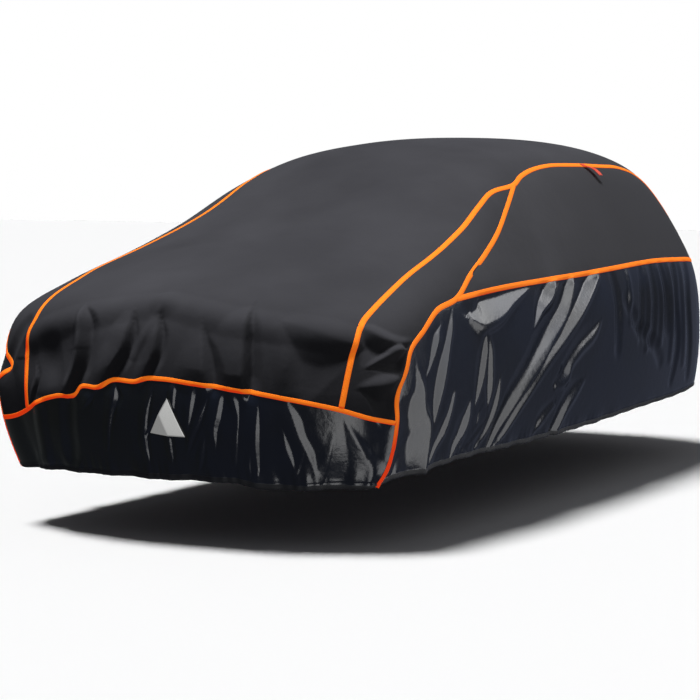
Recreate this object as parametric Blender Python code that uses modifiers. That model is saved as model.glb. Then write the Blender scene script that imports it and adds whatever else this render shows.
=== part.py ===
"""A fitted cover for a compact five-door, with taped seams and a coated skirt.

Frame: X across (+X is the left-hand side), Y lengthwise (the nose is at -Y), Z up.
The origin is the point under the roof where the cover is held up.
The tables below give heights above the ground, and rows run from front to rear
or from bottom to top. Everything is in metres.
"""
import bpy
import bmesh
import numpy as np

# Where the cover is held: under the middle of the roof (along, height above the ground).
HOLD_ALONG = 0.70
HOLD_HEIGHT = 1.706

SHEET = 0.002            # thickness of the cloth
TAPE_HALF = 0.012        # half the width of the seam tape
TAPE_DOME = 0.0032       # how far the tape stands above the cloth
TAPE_FOOT = 0.0105       # half width of the tape at the inner face of the cloth
PIECE_GAP = 0.0003       # clearance between pieces that are sewn together
PATCH_SHEET = 0.0009     # thickness of the reflective patch
PATCH_CLEAR = 0.0004     # its clearance over the skirt
TIP_WIDTH = 0.002        # width left where two seams run together
TAB_WIDE = 0.026         # webbing tab at the left roof seam
TAB_SHEET = 0.0016
TAB_ALONG = 0.90         # where along the cover the tab is

# ---- the shape that the cover is stretched over -------------------------------------

# along, height of the centre line
TOP_LINE = (
    (-2.60, 0.860), (-2.10, 1.010), (-1.80, 1.085), (-1.40, 1.180), (-1.05, 1.270),
    (-0.75, 1.385), (-0.40, 1.550), (-0.10, 1.645), (0.25, 1.690), (0.70, 1.710),
    (1.15, 1.700), (1.60, 1.645), (2.00, 1.560), (2.60, 1.420))
# along, drop from the centre line to the seam line
CROWN_DROP = (
    (-2.2, 0.125), (-1.6, 0.105), (-1.0, 0.085), (-0.5, 0.110), (0.0, 0.125),
    (0.8, 0.125), (1.6, 0.120), (2.4, 0.120))
# height, half width of the body
HALF_WIDTH = (
    (0.20, 0.875), (0.32, 0.905), (0.55, 0.945), (0.80, 0.955), (1.02, 0.930),
    (1.20, 0.860), (1.40, 0.765), (1.60, 0.665), (1.80, 0.560))
# along, how much narrower the plan is there
PLAN_TAPER = (
    (-2.4, -0.090), (-1.7, -0.030), (-1.2, -0.005), (-0.6, 0.000), (0.5, 0.000),
    (1.2, -0.020), (1.8, -0.075), (2.4, -0.160))
# height, foremost point of the nose
NOSE_LINE = (
    (0.20, -1.920), (0.32, -1.960), (0.50, -2.020), (0.68, -2.045), (0.85, -2.035),
    (1.05, -1.985), (1.30, -1.900))
# height, rearmost point of the tail
TAIL_LINE = (
    (0.20, 2.190), (0.40, 2.250), (0.65, 2.285), (0.90, 2.275), (1.05, 2.235),
    (1.25, 2.130), (1.45, 1.990), (1.65, 1.840))
# along, how far the cloth sits askew per metre of width
SKEW = ((-2.50, 0.10), (-1.45, 0.10), (-0.75, 0.0), (0.0, 0.0))
SEAM_REACH = 0.76        # distance of the roof seams from the middle
NOSE_BOW = 0.17          # how far the nose curves back at that distance
TAIL_BOW = 0.19
CROWN_POWER = 2.2        # how suddenly the roof falls away towards the sides
BOW_POWER = 2.4          # the same for the curve of the nose and the tail
WIDEST = 1.2             # the faces are worked out no further out than this
TAPER_LOW = 0.5          # share of the plan's taper at the ground
TAPER_RISE = 0.6         # and how much the share grows per metre of height
SLOPE_SHARE = 0.93       # mean cosine of the slopes of the top, nose and tail
SIDE_SHARE = 0.95        # the same for the sides
EDGE_SOFTNESS = 0.055    # how round the edges between the faces are

# ---- seams: across, along, height, name of the joint that lies there -----------------

ROOF_SEAM_LEFT = (
    (0.765, -1.780, 0.587, "nose"), (0.793, -1.763, 0.750, ""), (0.802, -1.746, 0.820, ""),
    (0.808, -1.686, 0.930, ""), (0.802, -1.560, 1.000, ""), (0.770, -1.240, 1.105, ""),
    (0.766, -0.900, 1.218, ""), (0.750, -0.690, 1.293, ""), (0.725, -0.485, 1.382, ""),
    (0.705, -0.325, 1.441, ""), (0.707, -0.090, 1.476, "pillar"), (0.685, 0.020, 1.510, ""),
    (0.663, 0.185, 1.543, ""), (0.652, 0.365, 1.562, ""), (0.650, 0.690, 1.567, ""),
    (0.642, 1.040, 1.562, ""), (0.609, 1.390, 1.552, ""), (0.597, 1.610, 1.520, "corner"),
    (0.619, 1.780, 1.440, ""), (0.660, 1.860, 1.350, ""), (0.690, 1.950, 1.230, ""),
    (0.680, 2.070, 1.040, "tail"))
ROOF_SEAM_RIGHT_NOSE = (
    (-0.671, -1.970, 0.529, "nose"), (-0.664, -1.989, 0.646, ""), (-0.668, -1.987, 0.757, ""),
    (-0.660, -1.975, 0.850, ""), (-0.638, -1.950, 0.925, ""), (-0.625, -1.890, 0.990, ""),
    (-0.640, -1.790, 1.040, ""), (-0.670, -1.650, 1.066, ""), (-0.715, -1.430, 1.105, ""),
    (-0.690, -1.110, 1.196, ""), (-0.630, -0.830, 1.296, ""), (-0.585, -0.520, 1.440, ""),
    (-0.585, -0.320, 1.510, ""), (-0.620, -0.080, 1.540, "pillar"))
CORNER_SEAM_LEFT = (
    (0.829, -1.607, 0.262, "hem"), (0.869, -1.579, 0.350, ""), (0.906, -1.579, 0.524, "nose"),
    (0.918, -1.576, 0.654, ""), (0.926, -1.525, 0.736, ""), (0.927, -1.492, 0.807, ""),
    (0.928, -1.375, 0.889, ""), (0.921, -1.247, 0.964, ""), (0.923, -1.088, 1.001, "belt"),
    (0.895, -0.906, 1.090, ""), (0.859, -0.680, 1.180, ""), (0.826, -0.506, 1.258, ""),
    (0.774, -0.310, 1.361, ""), (0.707, -0.090, 1.476, "pillar"))
CORNER_SEAM_RIGHT = (
    (-0.819, -1.793, 0.264, "hem"), (-0.846, -1.830, 0.405, ""), (-0.855, -1.850, 0.484, "nose"),
    (-0.872, -1.855, 0.600, ""), (-0.860, -1.870, 0.645, ""), (-0.790, -1.940, 0.700, ""),
    (-0.820, -1.915, 0.745, ""), (-0.870, -1.860, 0.790, ""), (-0.880, -1.810, 0.850, ""),
    (-0.905, -1.600, 0.925, ""), (-0.918, -1.350, 0.980, ""), (-0.923, -1.130, 1.005, "belt"),
    (-0.895, -0.906, 1.090, ""), (-0.859, -0.680, 1.180, ""), (-0.826, -0.506, 1.258, ""),
    (-0.750, -0.290, 1.380, ""), (-0.620, -0.080, 1.540, "pillar"))
BELT_SEAM_LEFT = (
    (0.923, -1.088, 1.001, "belt"), (0.928, -0.768, 1.023, ""), (0.925, -0.210, 1.041, ""),
    (0.923, 0.200, 1.051, ""), (0.915, 0.635, 1.064, ""), (0.893, 1.155, 1.076, ""),
    (0.839, 1.740, 1.063, ""), (0.785, 1.950, 1.048, ""), (0.680, 2.070, 1.040, "tail"))
FRONT_SEAM = (
    (-0.855, -1.850, 0.484, "right corner"), (-0.755, -1.927, 0.498, ""),
    (-0.671, -1.970, 0.529, "right roof"), (-0.597, -2.000, 0.566, ""),
    (-0.463, -2.036, 0.604, ""), (-0.357, -2.050, 0.618, ""), (-0.335, -2.054, 0.645, ""),
    (-0.221, -2.059, 0.657, ""), (-0.170, -2.058, 0.684, ""), (-0.040, -2.049, 0.688, ""),
    (0.000, -2.046, 0.700, ""), (0.070, -2.037, 0.701, ""), (0.173, -2.022, 0.692, ""),
    (0.288, -1.998, 0.680, ""), (0.405, -1.965, 0.665, ""), (0.578, -1.894, 0.633, ""),
    (0.669, -1.844, 0.613, ""), (0.765, -1.780, 0.587, "left roof"),
    (0.845, -1.702, 0.553, ""), (0.906, -1.579, 0.524, "left corner"))
REAR_BELT = (
    (0.680, 2.070, 1.040, "left"), (0.350, 2.190, 1.035, ""), (0.000, 2.235, 1.035, ""),
    (-0.350, 2.190, 1.035, ""), (-0.680, 2.070, 1.040, "right"))
FRONT_HEM = (
    (-0.819, -1.793, 0.264, "right"), (-0.650, -1.893, 0.267, ""), (-0.300, -1.958, 0.275, ""),
    (0.000, -1.946, 0.274, ""), (0.180, -1.920, 0.274, ""), (0.340, -1.880, 0.270, ""),
    (0.420, -1.855, 0.254, ""), (0.650, -1.750, 0.253, ""), (0.829, -1.607, 0.262, "left"))
SIDE_HEM_LEFT = (
    (0.829, -1.607, 0.262, "front"), (0.855, -1.560, 0.280, ""), (0.883, -1.418, 0.285, ""),
    (0.897, -1.160, 0.301, ""), (0.902, -0.940, 0.309, ""), (0.903, -0.500, 0.306, ""),
    (0.904, 0.170, 0.312, ""), (0.905, 0.400, 0.317, ""), (0.902, 0.990, 0.337, ""),
    (0.867, 1.690, 0.351, ""), (0.835, 1.870, 0.364, ""), (0.660, 2.060, 0.370, "rear"))
REAR_HEM = (
    (0.660, 2.060, 0.370, "left"), (0.350, 2.170, 0.362, ""), (0.000, 2.200, 0.358, ""),
    (-0.350, 2.170, 0.362, ""), (-0.660, 2.060, 0.370, "right"))
REAR_CORNER_LEFT = (
    (0.660, 2.060, 0.370, "hem"), (0.700, 2.100, 0.600, ""), (0.700, 2.095, 0.850, ""),
    (0.680, 2.070, 1.040, "belt"))

# the corners of the reflective patch
REFLECTOR = ((-0.010, -2.010, 0.470), (0.150, -1.990, 0.460), (0.090, -2.030, 0.622))
# webbing tab: distance out from the seam, lift off the cloth, shift along the seam
TAB_PATH = ((-0.008, 0.0042, 0.0), (0.004, 0.0043, 0.0), (0.016, 0.0040, 0.001),
            (0.030, 0.0062, 0.004), (0.044, 0.0110, 0.009), (0.056, 0.0150, 0.014))

# ---- number of stations between the joints of each seam -------------------------------

HEM_TO_NOSE = 4
NOSE_TO_BELT = 12
BELT_TO_PILLAR = 12
NOSE_TO_PILLAR = NOSE_TO_BELT + BELT_TO_PILLAR
PILLAR_TO_CORNER = 26
CORNER_TO_TAIL = 6
BELT_LENGTH = 52
FENDER_WIDTH = 4
NOSE_WIDTH = 32
REAR_WIDTH = 16
LONGEST_CUT = 4          # stations over which a panel or tape may be cut back
FINE = 25                # points on a seam's curve between two rows of its table

# ---- folds: rise (a trough is negative), half width, then points across, along, height --

NOSE_FOLDS = (
    (0.016, 0.080, (-0.63, -1.99, 0.84), (-0.39, -2.01, 0.93), (0.04, -1.95, 1.00)),
    (0.016, 0.080, (0.04, -1.95, 1.00), (0.35, -1.94, 0.94), (0.79, -1.75, 0.87)),
    (-0.026, 0.065, (-0.37, -2.02, 0.93), (-0.34, -2.06, 0.66)),
    (-0.020, 0.055, (0.06, -2.01, 0.91), (-0.03, -2.05, 0.70)),
    (-0.020, 0.055, (-0.07, -2.02, 0.92), (-0.19, -2.06, 0.69)),
    (0.014, 0.050, (0.00, -2.02, 0.91), (-0.11, -2.06, 0.69)),
    (0.016, 0.070, (0.29, -1.97, 0.90), (0.28, -2.00, 0.66)),
    (-0.018, 0.065, (0.43, -1.93, 0.89), (0.43, -1.95, 0.65)),
    (0.018, 0.070, (0.57, -1.89, 0.86), (0.57, -1.90, 0.62)),
    (-0.024, 0.060, (0.82, -1.68, 0.92), (0.91, -1.58, 0.84)),
    (-0.022, 0.065, (0.91, -1.60, 0.80), (0.83, -1.72, 0.74)),
    (-0.014, 0.055, (-0.70, -1.95, 0.90), (-0.80, -1.92, 0.72)),
    (0.012, 0.040, (-0.26, -2.06, 0.63), (-0.33, -2.05, 0.52)),
    (0.018, 0.050, (-0.14, -2.06, 0.64), (-0.22, -2.00, 0.38)),
    (-0.016, 0.045, (0.02, -2.04, 0.65), (-0.02, -2.03, 0.53), (-0.04, -1.97, 0.34)),
    (0.014, 0.040, (0.22, -2.01, 0.66), (0.17, -2.00, 0.51), (0.16, -1.97, 0.38)),
    (-0.016, 0.040, (0.27, -2.00, 0.63), (0.24, -1.97, 0.45), (0.19, -1.94, 0.31)),
    (0.018, 0.045, (0.35, -1.98, 0.65), (0.28, -1.95, 0.41)),
    (-0.018, 0.050, (0.47, -1.94, 0.60), (0.43, -1.88, 0.32)),
    (0.024, 0.060, (0.59, -1.89, 0.62), (0.66, -1.80, 0.36)),
    (-0.014, 0.045, (0.55, -1.88, 0.50), (0.57, -1.82, 0.33)),
    (0.026, 0.065, (0.77, -1.77, 0.55), (0.81, -1.66, 0.30)),
    (-0.016, 0.055, (-0.40, -2.03, 0.58), (-0.44, -1.98, 0.34)),
    (0.016, 0.055, (-0.58, -1.99, 0.54), (-0.60, -1.93, 0.33)))
# the same folds are laid on both long sides
SIDE_FOLDS = (
    (0.026, 0.065, (0.93, 0.04, 1.03), (0.94, -0.57, 0.53), (0.91, -0.79, 0.31)),
    (-0.024, 0.055, (0.94, 0.17, 1.00), (0.95, -0.42, 0.59), (0.92, -0.68, 0.35)),
    (0.026, 0.065, (0.93, 0.35, 1.03), (0.94, -0.32, 0.54), (0.91, -0.66, 0.31)),
    (0.016, 0.065, (0.95, 0.38, 0.84), (0.95, -0.18, 0.55)),
    (0.022, 0.070, (0.93, -1.45, 0.76), (0.90, -1.41, 0.32)),
    (0.020, 0.060, (0.93, -1.14, 0.96), (0.95, -1.24, 0.72), (0.90, -1.27, 0.31)),
    (0.022, 0.070, (0.95, -0.84, 0.88), (0.95, -0.88, 0.61), (0.92, -0.86, 0.36)),
    (-0.018, 0.060, (0.94, -1.30, 0.88), (0.94, -1.36, 0.66), (0.90, -1.34, 0.36)),
    (-0.016, 0.060, (0.94, -0.98, 0.84), (0.94, -1.04, 0.40)),
    (0.016, 0.070, (0.93, -0.80, 1.00), (0.95, -1.01, 0.88)),
    (0.016, 0.060, (0.93, -0.25, 1.02), (0.95, -0.42, 0.82)),
    (-0.014, 0.075, (0.93, 0.72, 0.98), (0.94, 0.55, 0.45)),
    (0.014, 0.080, (0.93, 1.05, 0.95), (0.92, 1.00, 0.40)),
    (-0.014, 0.075, (0.91, 1.38, 0.98), (0.90, 1.42, 0.42)),
    (0.014, 0.070, (0.81, 1.88, 0.92), (0.79, 1.92, 0.42)),
    (-0.014, 0.080, (0.42, 2.17, 0.92), (0.44, 2.16, 0.40)),
    (0.014, 0.080, (0.14, 2.23, 0.92), (0.12, 2.20, 0.40)))
FOLD_END_SHARE = 0.55    # share of a fold's rise that is left at its two ends
RUFFLE_RISE = 0.007      # elastic gathers along the hem
RUFFLE_PITCH = 0.19
RUFFLE_SLOWER = 0.62     # a second, longer wave makes them uneven
RUFFLE_SHIFT = 1.1
RUFFLE_REACH = 0.16      # height above the hem where they have died out
HEM_HEIGHT = 0.30


def curve_through(rows, at):
    """A smooth curve through rows whose first column is the parameter."""
    rows = np.asarray(rows, float)
    place, value = rows[:, 0], rows[:, 1:]
    at = np.clip(at, place[0], place[-1])
    width = np.diff(place)
    slope = np.diff(value, axis=0) / width[:, None]
    tangent = np.empty_like(value)
    before, after = slope[:-1], slope[1:]
    blend = (before * width[1:, None] + after * width[:-1, None]) / (width[1:] + width[:-1])[:, None]
    tangent[1:-1] = np.where(before * after > 0, blend, blend * 0.5)
    tangent[0] = slope[0]
    tangent[-1] = slope[-1]
    cell = np.clip(np.searchsorted(place, at, side="right") - 1, 0, len(width) - 1)
    s = ((at - place[cell]) / width[cell])[..., None]
    span = width[cell][..., None]
    return ((1 + 2 * s) * (1 - s) ** 2 * value[cell] + s * (1 - s) ** 2 * span * tangent[cell]
            + s * s * (3 - 2 * s) * value[cell + 1] + s * s * (s - 1) * span * tangent[cell + 1])


def profile(table, at):
    return curve_through(table, at)[..., 0]


def outside(p):
    """Rough distance of points from the smooth body; negative inside."""
    across, height = np.abs(p[..., 0]), p[..., 2]
    along = p[..., 1] - profile(SKEW, p[..., 1]) * p[..., 0]
    reach = np.minimum(across, WIDEST) / SEAM_REACH
    crown = profile(TOP_LINE, along) - profile(CROWN_DROP, along) * reach ** CROWN_POWER
    taper = profile(PLAN_TAPER, along) * (TAPER_LOW + TAPER_RISE * height)
    flank = profile(HALF_WIDTH, height) + taper
    foremost = profile(NOSE_LINE, height) + NOSE_BOW * reach ** BOW_POWER
    rearmost = profile(TAIL_LINE, height) - TAIL_BOW * reach ** BOW_POWER
    faces = np.stack([(height - crown) * SLOPE_SHARE, (across - flank) * SIDE_SHARE,
                      (foremost - along) * SLOPE_SHARE, (along - rearmost) * SLOPE_SHARE], -1)
    most = faces.max(-1)
    return most + EDGE_SOFTNESS * np.log(np.exp((faces - most[..., None]) / EDGE_SOFTNESS).sum(-1))


def gradient(p, step=0.004):
    slope = np.empty_like(p)
    for axis in range(3):
        move = np.zeros(3)
        move[axis] = step
        slope[..., axis] = (outside(p + move) - outside(p - move)) / (2 * step)
    return slope


def unit(v):
    return v / np.maximum(np.linalg.norm(v, axis=-1, keepdims=True), 1e-12)


def on_body(p, rounds=8):
    p = np.array(p, float)
    for _ in range(rounds):
        slope = gradient(p)
        p = p - slope * (outside(p) / (slope * slope).sum(-1))[..., None]
    return p


def distance_to_path(p, path):
    """Distance from points to a path, and the share of the path that they lie along."""
    path = np.asarray(path, float)
    lengths = np.linalg.norm(np.diff(path, axis=0), axis=1)
    total = lengths.sum()
    best = np.full(p.shape[:-1], 1e9)
    share = np.zeros(p.shape[:-1])
    walked = 0.0
    for start, end, length in zip(path[:-1], path[1:], lengths):
        along = np.clip(((p - start) @ (end - start)) / length ** 2, 0, 1)
        apart = np.linalg.norm(p - (start + along[..., None] * (end - start)), axis=-1)
        nearer = apart < best
        best = np.where(nearer, apart, best)
        share = np.where(nearer, (walked + along * length) / total, share)
        walked += length
    return best, share


def relief(p):
    """How far the cloth stands off the smooth body at points on it."""
    rise = np.zeros(p.shape[:-1])
    folded = np.stack([np.abs(p[..., 0]), p[..., 1], p[..., 2]], -1)
    for where, folds in ((p, NOSE_FOLDS), (folded, SIDE_FOLDS)):
        for fold in folds:
            apart, share = distance_to_path(where, fold[2:])
            across = np.clip(1 - (apart / fold[1]) ** 2, 0, 1) ** 2
            swell = FOLD_END_SHARE + (1 - FOLD_END_SHARE) * np.sin(np.pi * share)
            rise = rise + fold[0] * across * swell
    # on the sides the gathers follow the length, on the nose and tail the width
    sideways = np.clip(np.abs(unit(gradient(p))[..., 0]) * 2 - 0.7, 0, 1)
    run = p[..., 1] * sideways + p[..., 0] * (1 - sideways)
    fade = np.clip(1 - (p[..., 2] - HEM_HEIGHT) / RUFFLE_REACH, 0, 1) ** 2
    turn = 2 * np.pi / RUFFLE_PITCH
    wave = np.sin(turn * run) + 0.5 * np.sin(turn * RUFFLE_SLOWER * run + RUFFLE_SHIFT)
    return rise + RUFFLE_RISE * fade * wave


class Seam:
    """Stations along a seam: places on the smooth body, on the cloth, and their frames."""

    def __init__(self, bare):
        self.bare = bare
        self.normal = unit(gradient(bare))
        self.cloth = bare + self.normal * relief(bare)[:, None]
        self.side = unit(np.cross(self.normal, np.gradient(self.cloth, axis=0)))

    def cut(self, first, last):
        """The stations from first to last, last below first for the other direction."""
        order = range(first, last + 1) if last >= first else range(first, last - 1, -1)
        piece = object.__new__(Seam)
        for name in ("bare", "normal", "cloth"):
            setattr(piece, name, getattr(self, name)[list(order)])
        turned = 1.0 if last >= first else -1.0
        piece.side = self.side[list(order)] * turned
        return piece

    def at(self, place, name="cloth"):
        """Values at fractional stations, on the straight runs between them."""
        values = getattr(self, name)
        place = np.clip(np.asarray(place, float), 0, len(values) - 1)
        cell = np.minimum(place.astype(int), len(values) - 2)
        share = (place - cell)[..., None]
        return values[cell] * (1 - share) + values[cell + 1] * share

    def beside(self, place, offset, name="cloth"):
        return self.at(place, name) + self.at(place, "side") * np.asarray(offset)[..., None]


def join(*seams):
    whole = object.__new__(Seam)
    for name in ("bare", "normal", "cloth", "side"):
        parts = [getattr(seam, name) for seam in seams]
        setattr(whole, name, np.concatenate([parts[0]] + [part[1:] for part in parts[1:]]))
    return whole


def seam(rows, *counts):
    """A seam from its table, with the given number of stations between its named joints."""
    points = np.array([row[:3] for row in rows])
    steps = np.linalg.norm(np.diff(points, axis=0), axis=1)
    place = np.concatenate([[0], np.cumsum(steps)])
    fine = np.unique(np.concatenate([np.linspace(a, b, FINE) for a, b in zip(place[:-1], place[1:])]))
    dense = on_body(curve_through(np.column_stack([place, points]), fine))
    length = np.concatenate([[0], np.cumsum(np.linalg.norm(np.diff(dense, axis=0), axis=1))])
    joints = [place[k] for k, row in enumerate(rows) if row[3]]
    marks = np.interp(joints, fine, length)
    stops = [np.linspace(a, b, n + 1) for a, b, n in zip(marks[:-1], marks[1:], counts)]
    stops = np.concatenate([stops[0]] + [stop[1:] for stop in stops[1:]])
    bare = np.stack([np.interp(stops, length, dense[:, axis]) for axis in range(3)], -1)
    return Seam(on_body(bare))


def mirrored(rows):
    return tuple((-row[0],) + row[1:] for row in rows)


def clear_of(line, offset, other, need, from_end=False):
    """The first place along a seam whose point beside it is the needed distance from another."""
    last = len(line.cloth) - 1
    steps = np.linspace(0, min(LONGEST_CUT, last / 2), 401)
    place = last - steps if from_end else steps
    apart, _ = distance_to_path(line.beside(place, np.full(place.shape, offset)), other.cloth)
    blocked = np.flatnonzero(apart < need)
    first = 0 if len(blocked) == 0 else min(blocked[-1] + 1, len(place) - 1)
    return place[first]


def spread(last, start, end, squeeze=0.02):
    """Station places 0..last, squeezed so that they lie between start and end."""
    place = np.arange(last + 1, dtype=float)
    low = start + squeeze * place
    high = end - squeeze * (last - place)
    return np.minimum(np.maximum(place, low), high)


def sheet_faces(columns, rows, steps):
    """Faces of a grid whose rim cells also take the finer stations of the seams."""
    index = {}

    def vertex(*key):
        return index.setdefault(key, len(index))

    def between(side, cell):
        step = steps[side]
        return [vertex(side, cell * step + k) for k in range(1, step)]

    faces = []
    for j in range(rows):
        for i in range(columns):
            loop = [vertex(i, j)]
            loop += between("bottom", i) if j == 0 else []
            loop.append(vertex(i + 1, j))
            loop += between("right", j) if i == columns - 1 else []
            loop.append(vertex(i + 1, j + 1))
            loop += between("top", i)[::-1] if j == rows - 1 else []
            loop.append(vertex(i, j + 1))
            loop += between("left", j)[::-1] if i == 0 else []
            faces.append(loop)
    return index, faces


def edge_of(sides, name):
    """Places along a panel's side, between the two sides that it meets."""
    line, offset = sides[name]
    before, after = ("left", "right") if name in ("bottom", "top") else ("bottom", "top")
    last = len(line.cloth) - 1
    stops = []
    for neighbour, from_end in ((before, False), (after, True)):
        tip = 0.0
        if sides[neighbour] is None:
            neighbour = "right" if name == "left" else "left"
            tip = TIP_WIDTH
        other, reach = sides[neighbour]
        stops.append(clear_of(line, offset, other, abs(reach) + tip, from_end))
    place = spread(last, *stops)
    beside = np.full(place.shape, offset)
    return line.beside(place, beside), line.beside(place, beside, "bare")


def panel_mesh(bottom, top, left, right, columns, rows):
    """Vertices and faces of a panel between four seams.

    Each side is (seam, offset): the seam's stations run left to right or bottom to top,
    and offset is the signed distance of the panel's edge from it. A top of None is a tip,
    where the left and right seams run together.
    """
    sides = {"bottom": bottom, "top": top, "left": left, "right": right}
    edges = {name: edge_of(sides, name) for name in sides if sides[name] is not None}
    if top is None:
        share = np.linspace(0, 1, columns + 1)[:, None]
        edges["top"] = tuple(a[-1] * (1 - share) + b[-1] * share
                             for a, b in zip(edges["left"], edges["right"]))
    for level in (0, 1):
        for flat, upright, a, b in (("bottom", "left", 0, 0), ("bottom", "right", -1, 0),
                                    ("top", "left", 0, -1), ("top", "right", -1, -1)):
            free = sides[flat] is not None and sides[flat][1] == 0.0
            corner = edges[upright][level][b].copy()
            if not free:
                corner = (corner + edges[flat][level][a]) / 2
            edges[flat][level][a] = corner
            edges[upright][level][b] = corner
    steps = {name: (len(edges[name][0]) - 1) // (columns if name in ("bottom", "top") else rows)
             for name in edges}
    low, high, near, far = (edges[name][1][::steps[name]] for name in ("bottom", "top", "left", "right"))
    u = np.linspace(0, 1, columns + 1)[None, :, None]
    v = np.linspace(0, 1, rows + 1)[:, None, None]
    grid = ((1 - v) * low[None] + v * high[None] + (1 - u) * near[:, None] + u * far[:, None]
            - (1 - u) * (1 - v) * low[0] - u * (1 - v) * low[-1]
            - (1 - u) * v * high[0] - u * v * high[-1])
    bare = on_body(grid, 12)
    normal = unit(gradient(bare))
    cloth = bare + normal * relief(bare)[..., None]
    cloth[0], cloth[-1] = (edges[name][0][::steps[name]] for name in ("bottom", "top"))
    cloth[:, 0], cloth[:, -1] = (edges[name][0][::steps[name]] for name in ("left", "right"))
    index, faces = sheet_faces(columns, rows, steps)
    points = np.zeros((len(index), 3))
    for key, number in index.items():
        points[number] = edges[key[0]][0][key[1]] if isinstance(key[0], str) else cloth[key[1], key[0]]
    i, j = columns // 2, rows // 2
    across, upward = cloth[j, i + 1] - cloth[j, i], cloth[j + 1, i] - cloth[j, i]
    if np.dot(np.cross(across, upward), normal[j, i]) < 0:
        faces = [face[::-1] for face in faces]
    return points, faces


def tape_mesh(line, start=None, end=None):
    """A domed tape along a seam; start and end name the seams that its ends butt against."""
    section = ((-TAPE_FOOT, -SHEET), (-TAPE_HALF, 0.0), (0.0, TAPE_DOME),
               (TAPE_HALF, 0.0), (TAPE_FOOT, -SHEET))
    last = len(line.cloth) - 1
    need = TAPE_HALF + PIECE_GAP
    rows = []
    for offset, lift in section:
        first = 0.0 if start is None else clear_of(line, offset, start, need)
        final = float(last) if end is None else clear_of(line, offset, end, need, True)
        place = spread(last, first, final)
        beside = line.beside(place, np.full(place.shape, offset))
        rows.append(beside + line.at(place, "normal") * lift)
    points = np.stack(rows, 1).reshape(-1, 3)
    around = len(section)
    faces = []
    for ring in range(last):
        for k in range(around):
            a, b = ring * around + k, ring * around + (k + 1) % around
            faces.append([a, b, b + around, a + around])
    faces.append(list(range(around))[::-1])
    faces.append([last * around + k for k in range(around)])
    return points, faces


# ---- Blender objects --------------------------------------------------------------------

def clear_scene():
    for old in list(bpy.data.objects):
        bpy.data.objects.remove(old, do_unlink=True)


def finish(name, colour, roughness, metallic=0.0):
    material = bpy.data.materials.new(name)
    material.use_nodes = True
    shader = material.node_tree.nodes["Principled BSDF"]
    shader.inputs["Base Color"].default_value = (*colour, 1.0)
    shader.inputs["Roughness"].default_value = roughness
    shader.inputs["Metallic"].default_value = metallic
    return material


def place_mesh(name, points, faces, material, collection):
    mesh = bpy.data.meshes.new(name)
    moved = np.asarray(points) - np.array([0.0, HOLD_ALONG, HOLD_HEIGHT])
    mesh.from_pydata([tuple(point) for point in moved], [], faces)
    made = bmesh.new()
    made.from_mesh(mesh)
    bmesh.ops.triangulate(made, faces=made.faces)
    made.to_mesh(mesh)
    made.free()
    mesh.materials.append(material)
    mesh.shade_smooth()
    item = bpy.data.objects.new(name, mesh)
    collection.objects.link(item)
    return item


def thicken(item, thickness, offset):
    wall = item.modifiers.new("Cloth", "SOLIDIFY")
    wall.thickness = thickness
    wall.offset = offset
    wall.use_even_offset = False
    return item


def reflector_patch(name, material, collection, skirt):
    """The patch follows the skirt's own facets, cut from a copy of them by three planes."""
    made = bmesh.new()
    made.from_mesh(skirt.data)
    corners = [np.array(corner) - (0, HOLD_ALONG, HOLD_HEIGHT) for corner in REFLECTOR]
    centre = sum(corners) / 3
    for a, b in zip(corners, corners[1:] + corners[:1]):
        outward = np.cross(b - a, (0, 1, 0))
        outward *= np.sign(np.dot(outward, (a + b) / 2 - centre))
        geometry = made.verts[:] + made.edges[:] + made.faces[:]
        bmesh.ops.bisect_plane(made, geom=geometry, plane_co=tuple(a), plane_no=tuple(outward),
                               clear_outer=True)
    front_faces = [face for face in made.faces if face.normal.y < 0]
    bmesh.ops.delete(made, geom=[face for face in made.faces if face not in front_faces],
                     context="FACES")
    for vertex in made.verts:
        vertex.co += vertex.normal * PATCH_CLEAR
    mesh = bpy.data.meshes.new(name)
    made.to_mesh(mesh)
    made.free()
    mesh.materials.clear()
    mesh.materials.append(material)
    item = bpy.data.objects.new(name, mesh)
    collection.objects.link(item)
    return thicken(item, PATCH_SHEET, 1.0)


def pull_tab(name, material, collection, roof):
    """A strip of webbing folded over the roof seam, its free end off the window panel."""
    behind = np.arange(NOSE_TO_PILLAR, len(roof.cloth))
    place = np.interp(TAB_ALONG, roof.cloth[behind, 1], behind)
    station = roof.at(np.array([place, place + 0.01]))
    along = unit(station[1] - station[0])
    side, normal = -roof.at(np.array([place]), "side")[0], roof.at(np.array([place]), "normal")[0]
    points = []
    for out, lift, shift in TAB_PATH:
        for half in (-TAB_WIDE / 2, 0, TAB_WIDE / 2):
            points.append(station[0] + side * out + normal * lift + along * (half + shift))
    faces = [[3 * k + j, 3 * k + j + 1, 3 * k + j + 4, 3 * k + j + 3]
             for k in range(len(TAB_PATH) - 1) for j in (0, 1)]
    item = place_mesh(name, points, faces, material, collection)
    return thicken(item, TAB_SHEET, 0.0)


def cloth_panel(name, material, collection, *shape):
    points, faces = panel_mesh(*shape)
    return thicken(place_mesh(name, points, faces, material, collection), SHEET, -1.0)


def seam_tape(name, material, collection, line, start=None, end=None):
    points, faces = tape_mesh(line, start, end)
    item = place_mesh(name, points, faces, material, collection)
    made = bmesh.new()
    made.from_mesh(item.data)
    bmesh.ops.recalc_face_normals(made, faces=made.faces)
    made.to_mesh(item.data)
    made.free()
    return item


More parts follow.
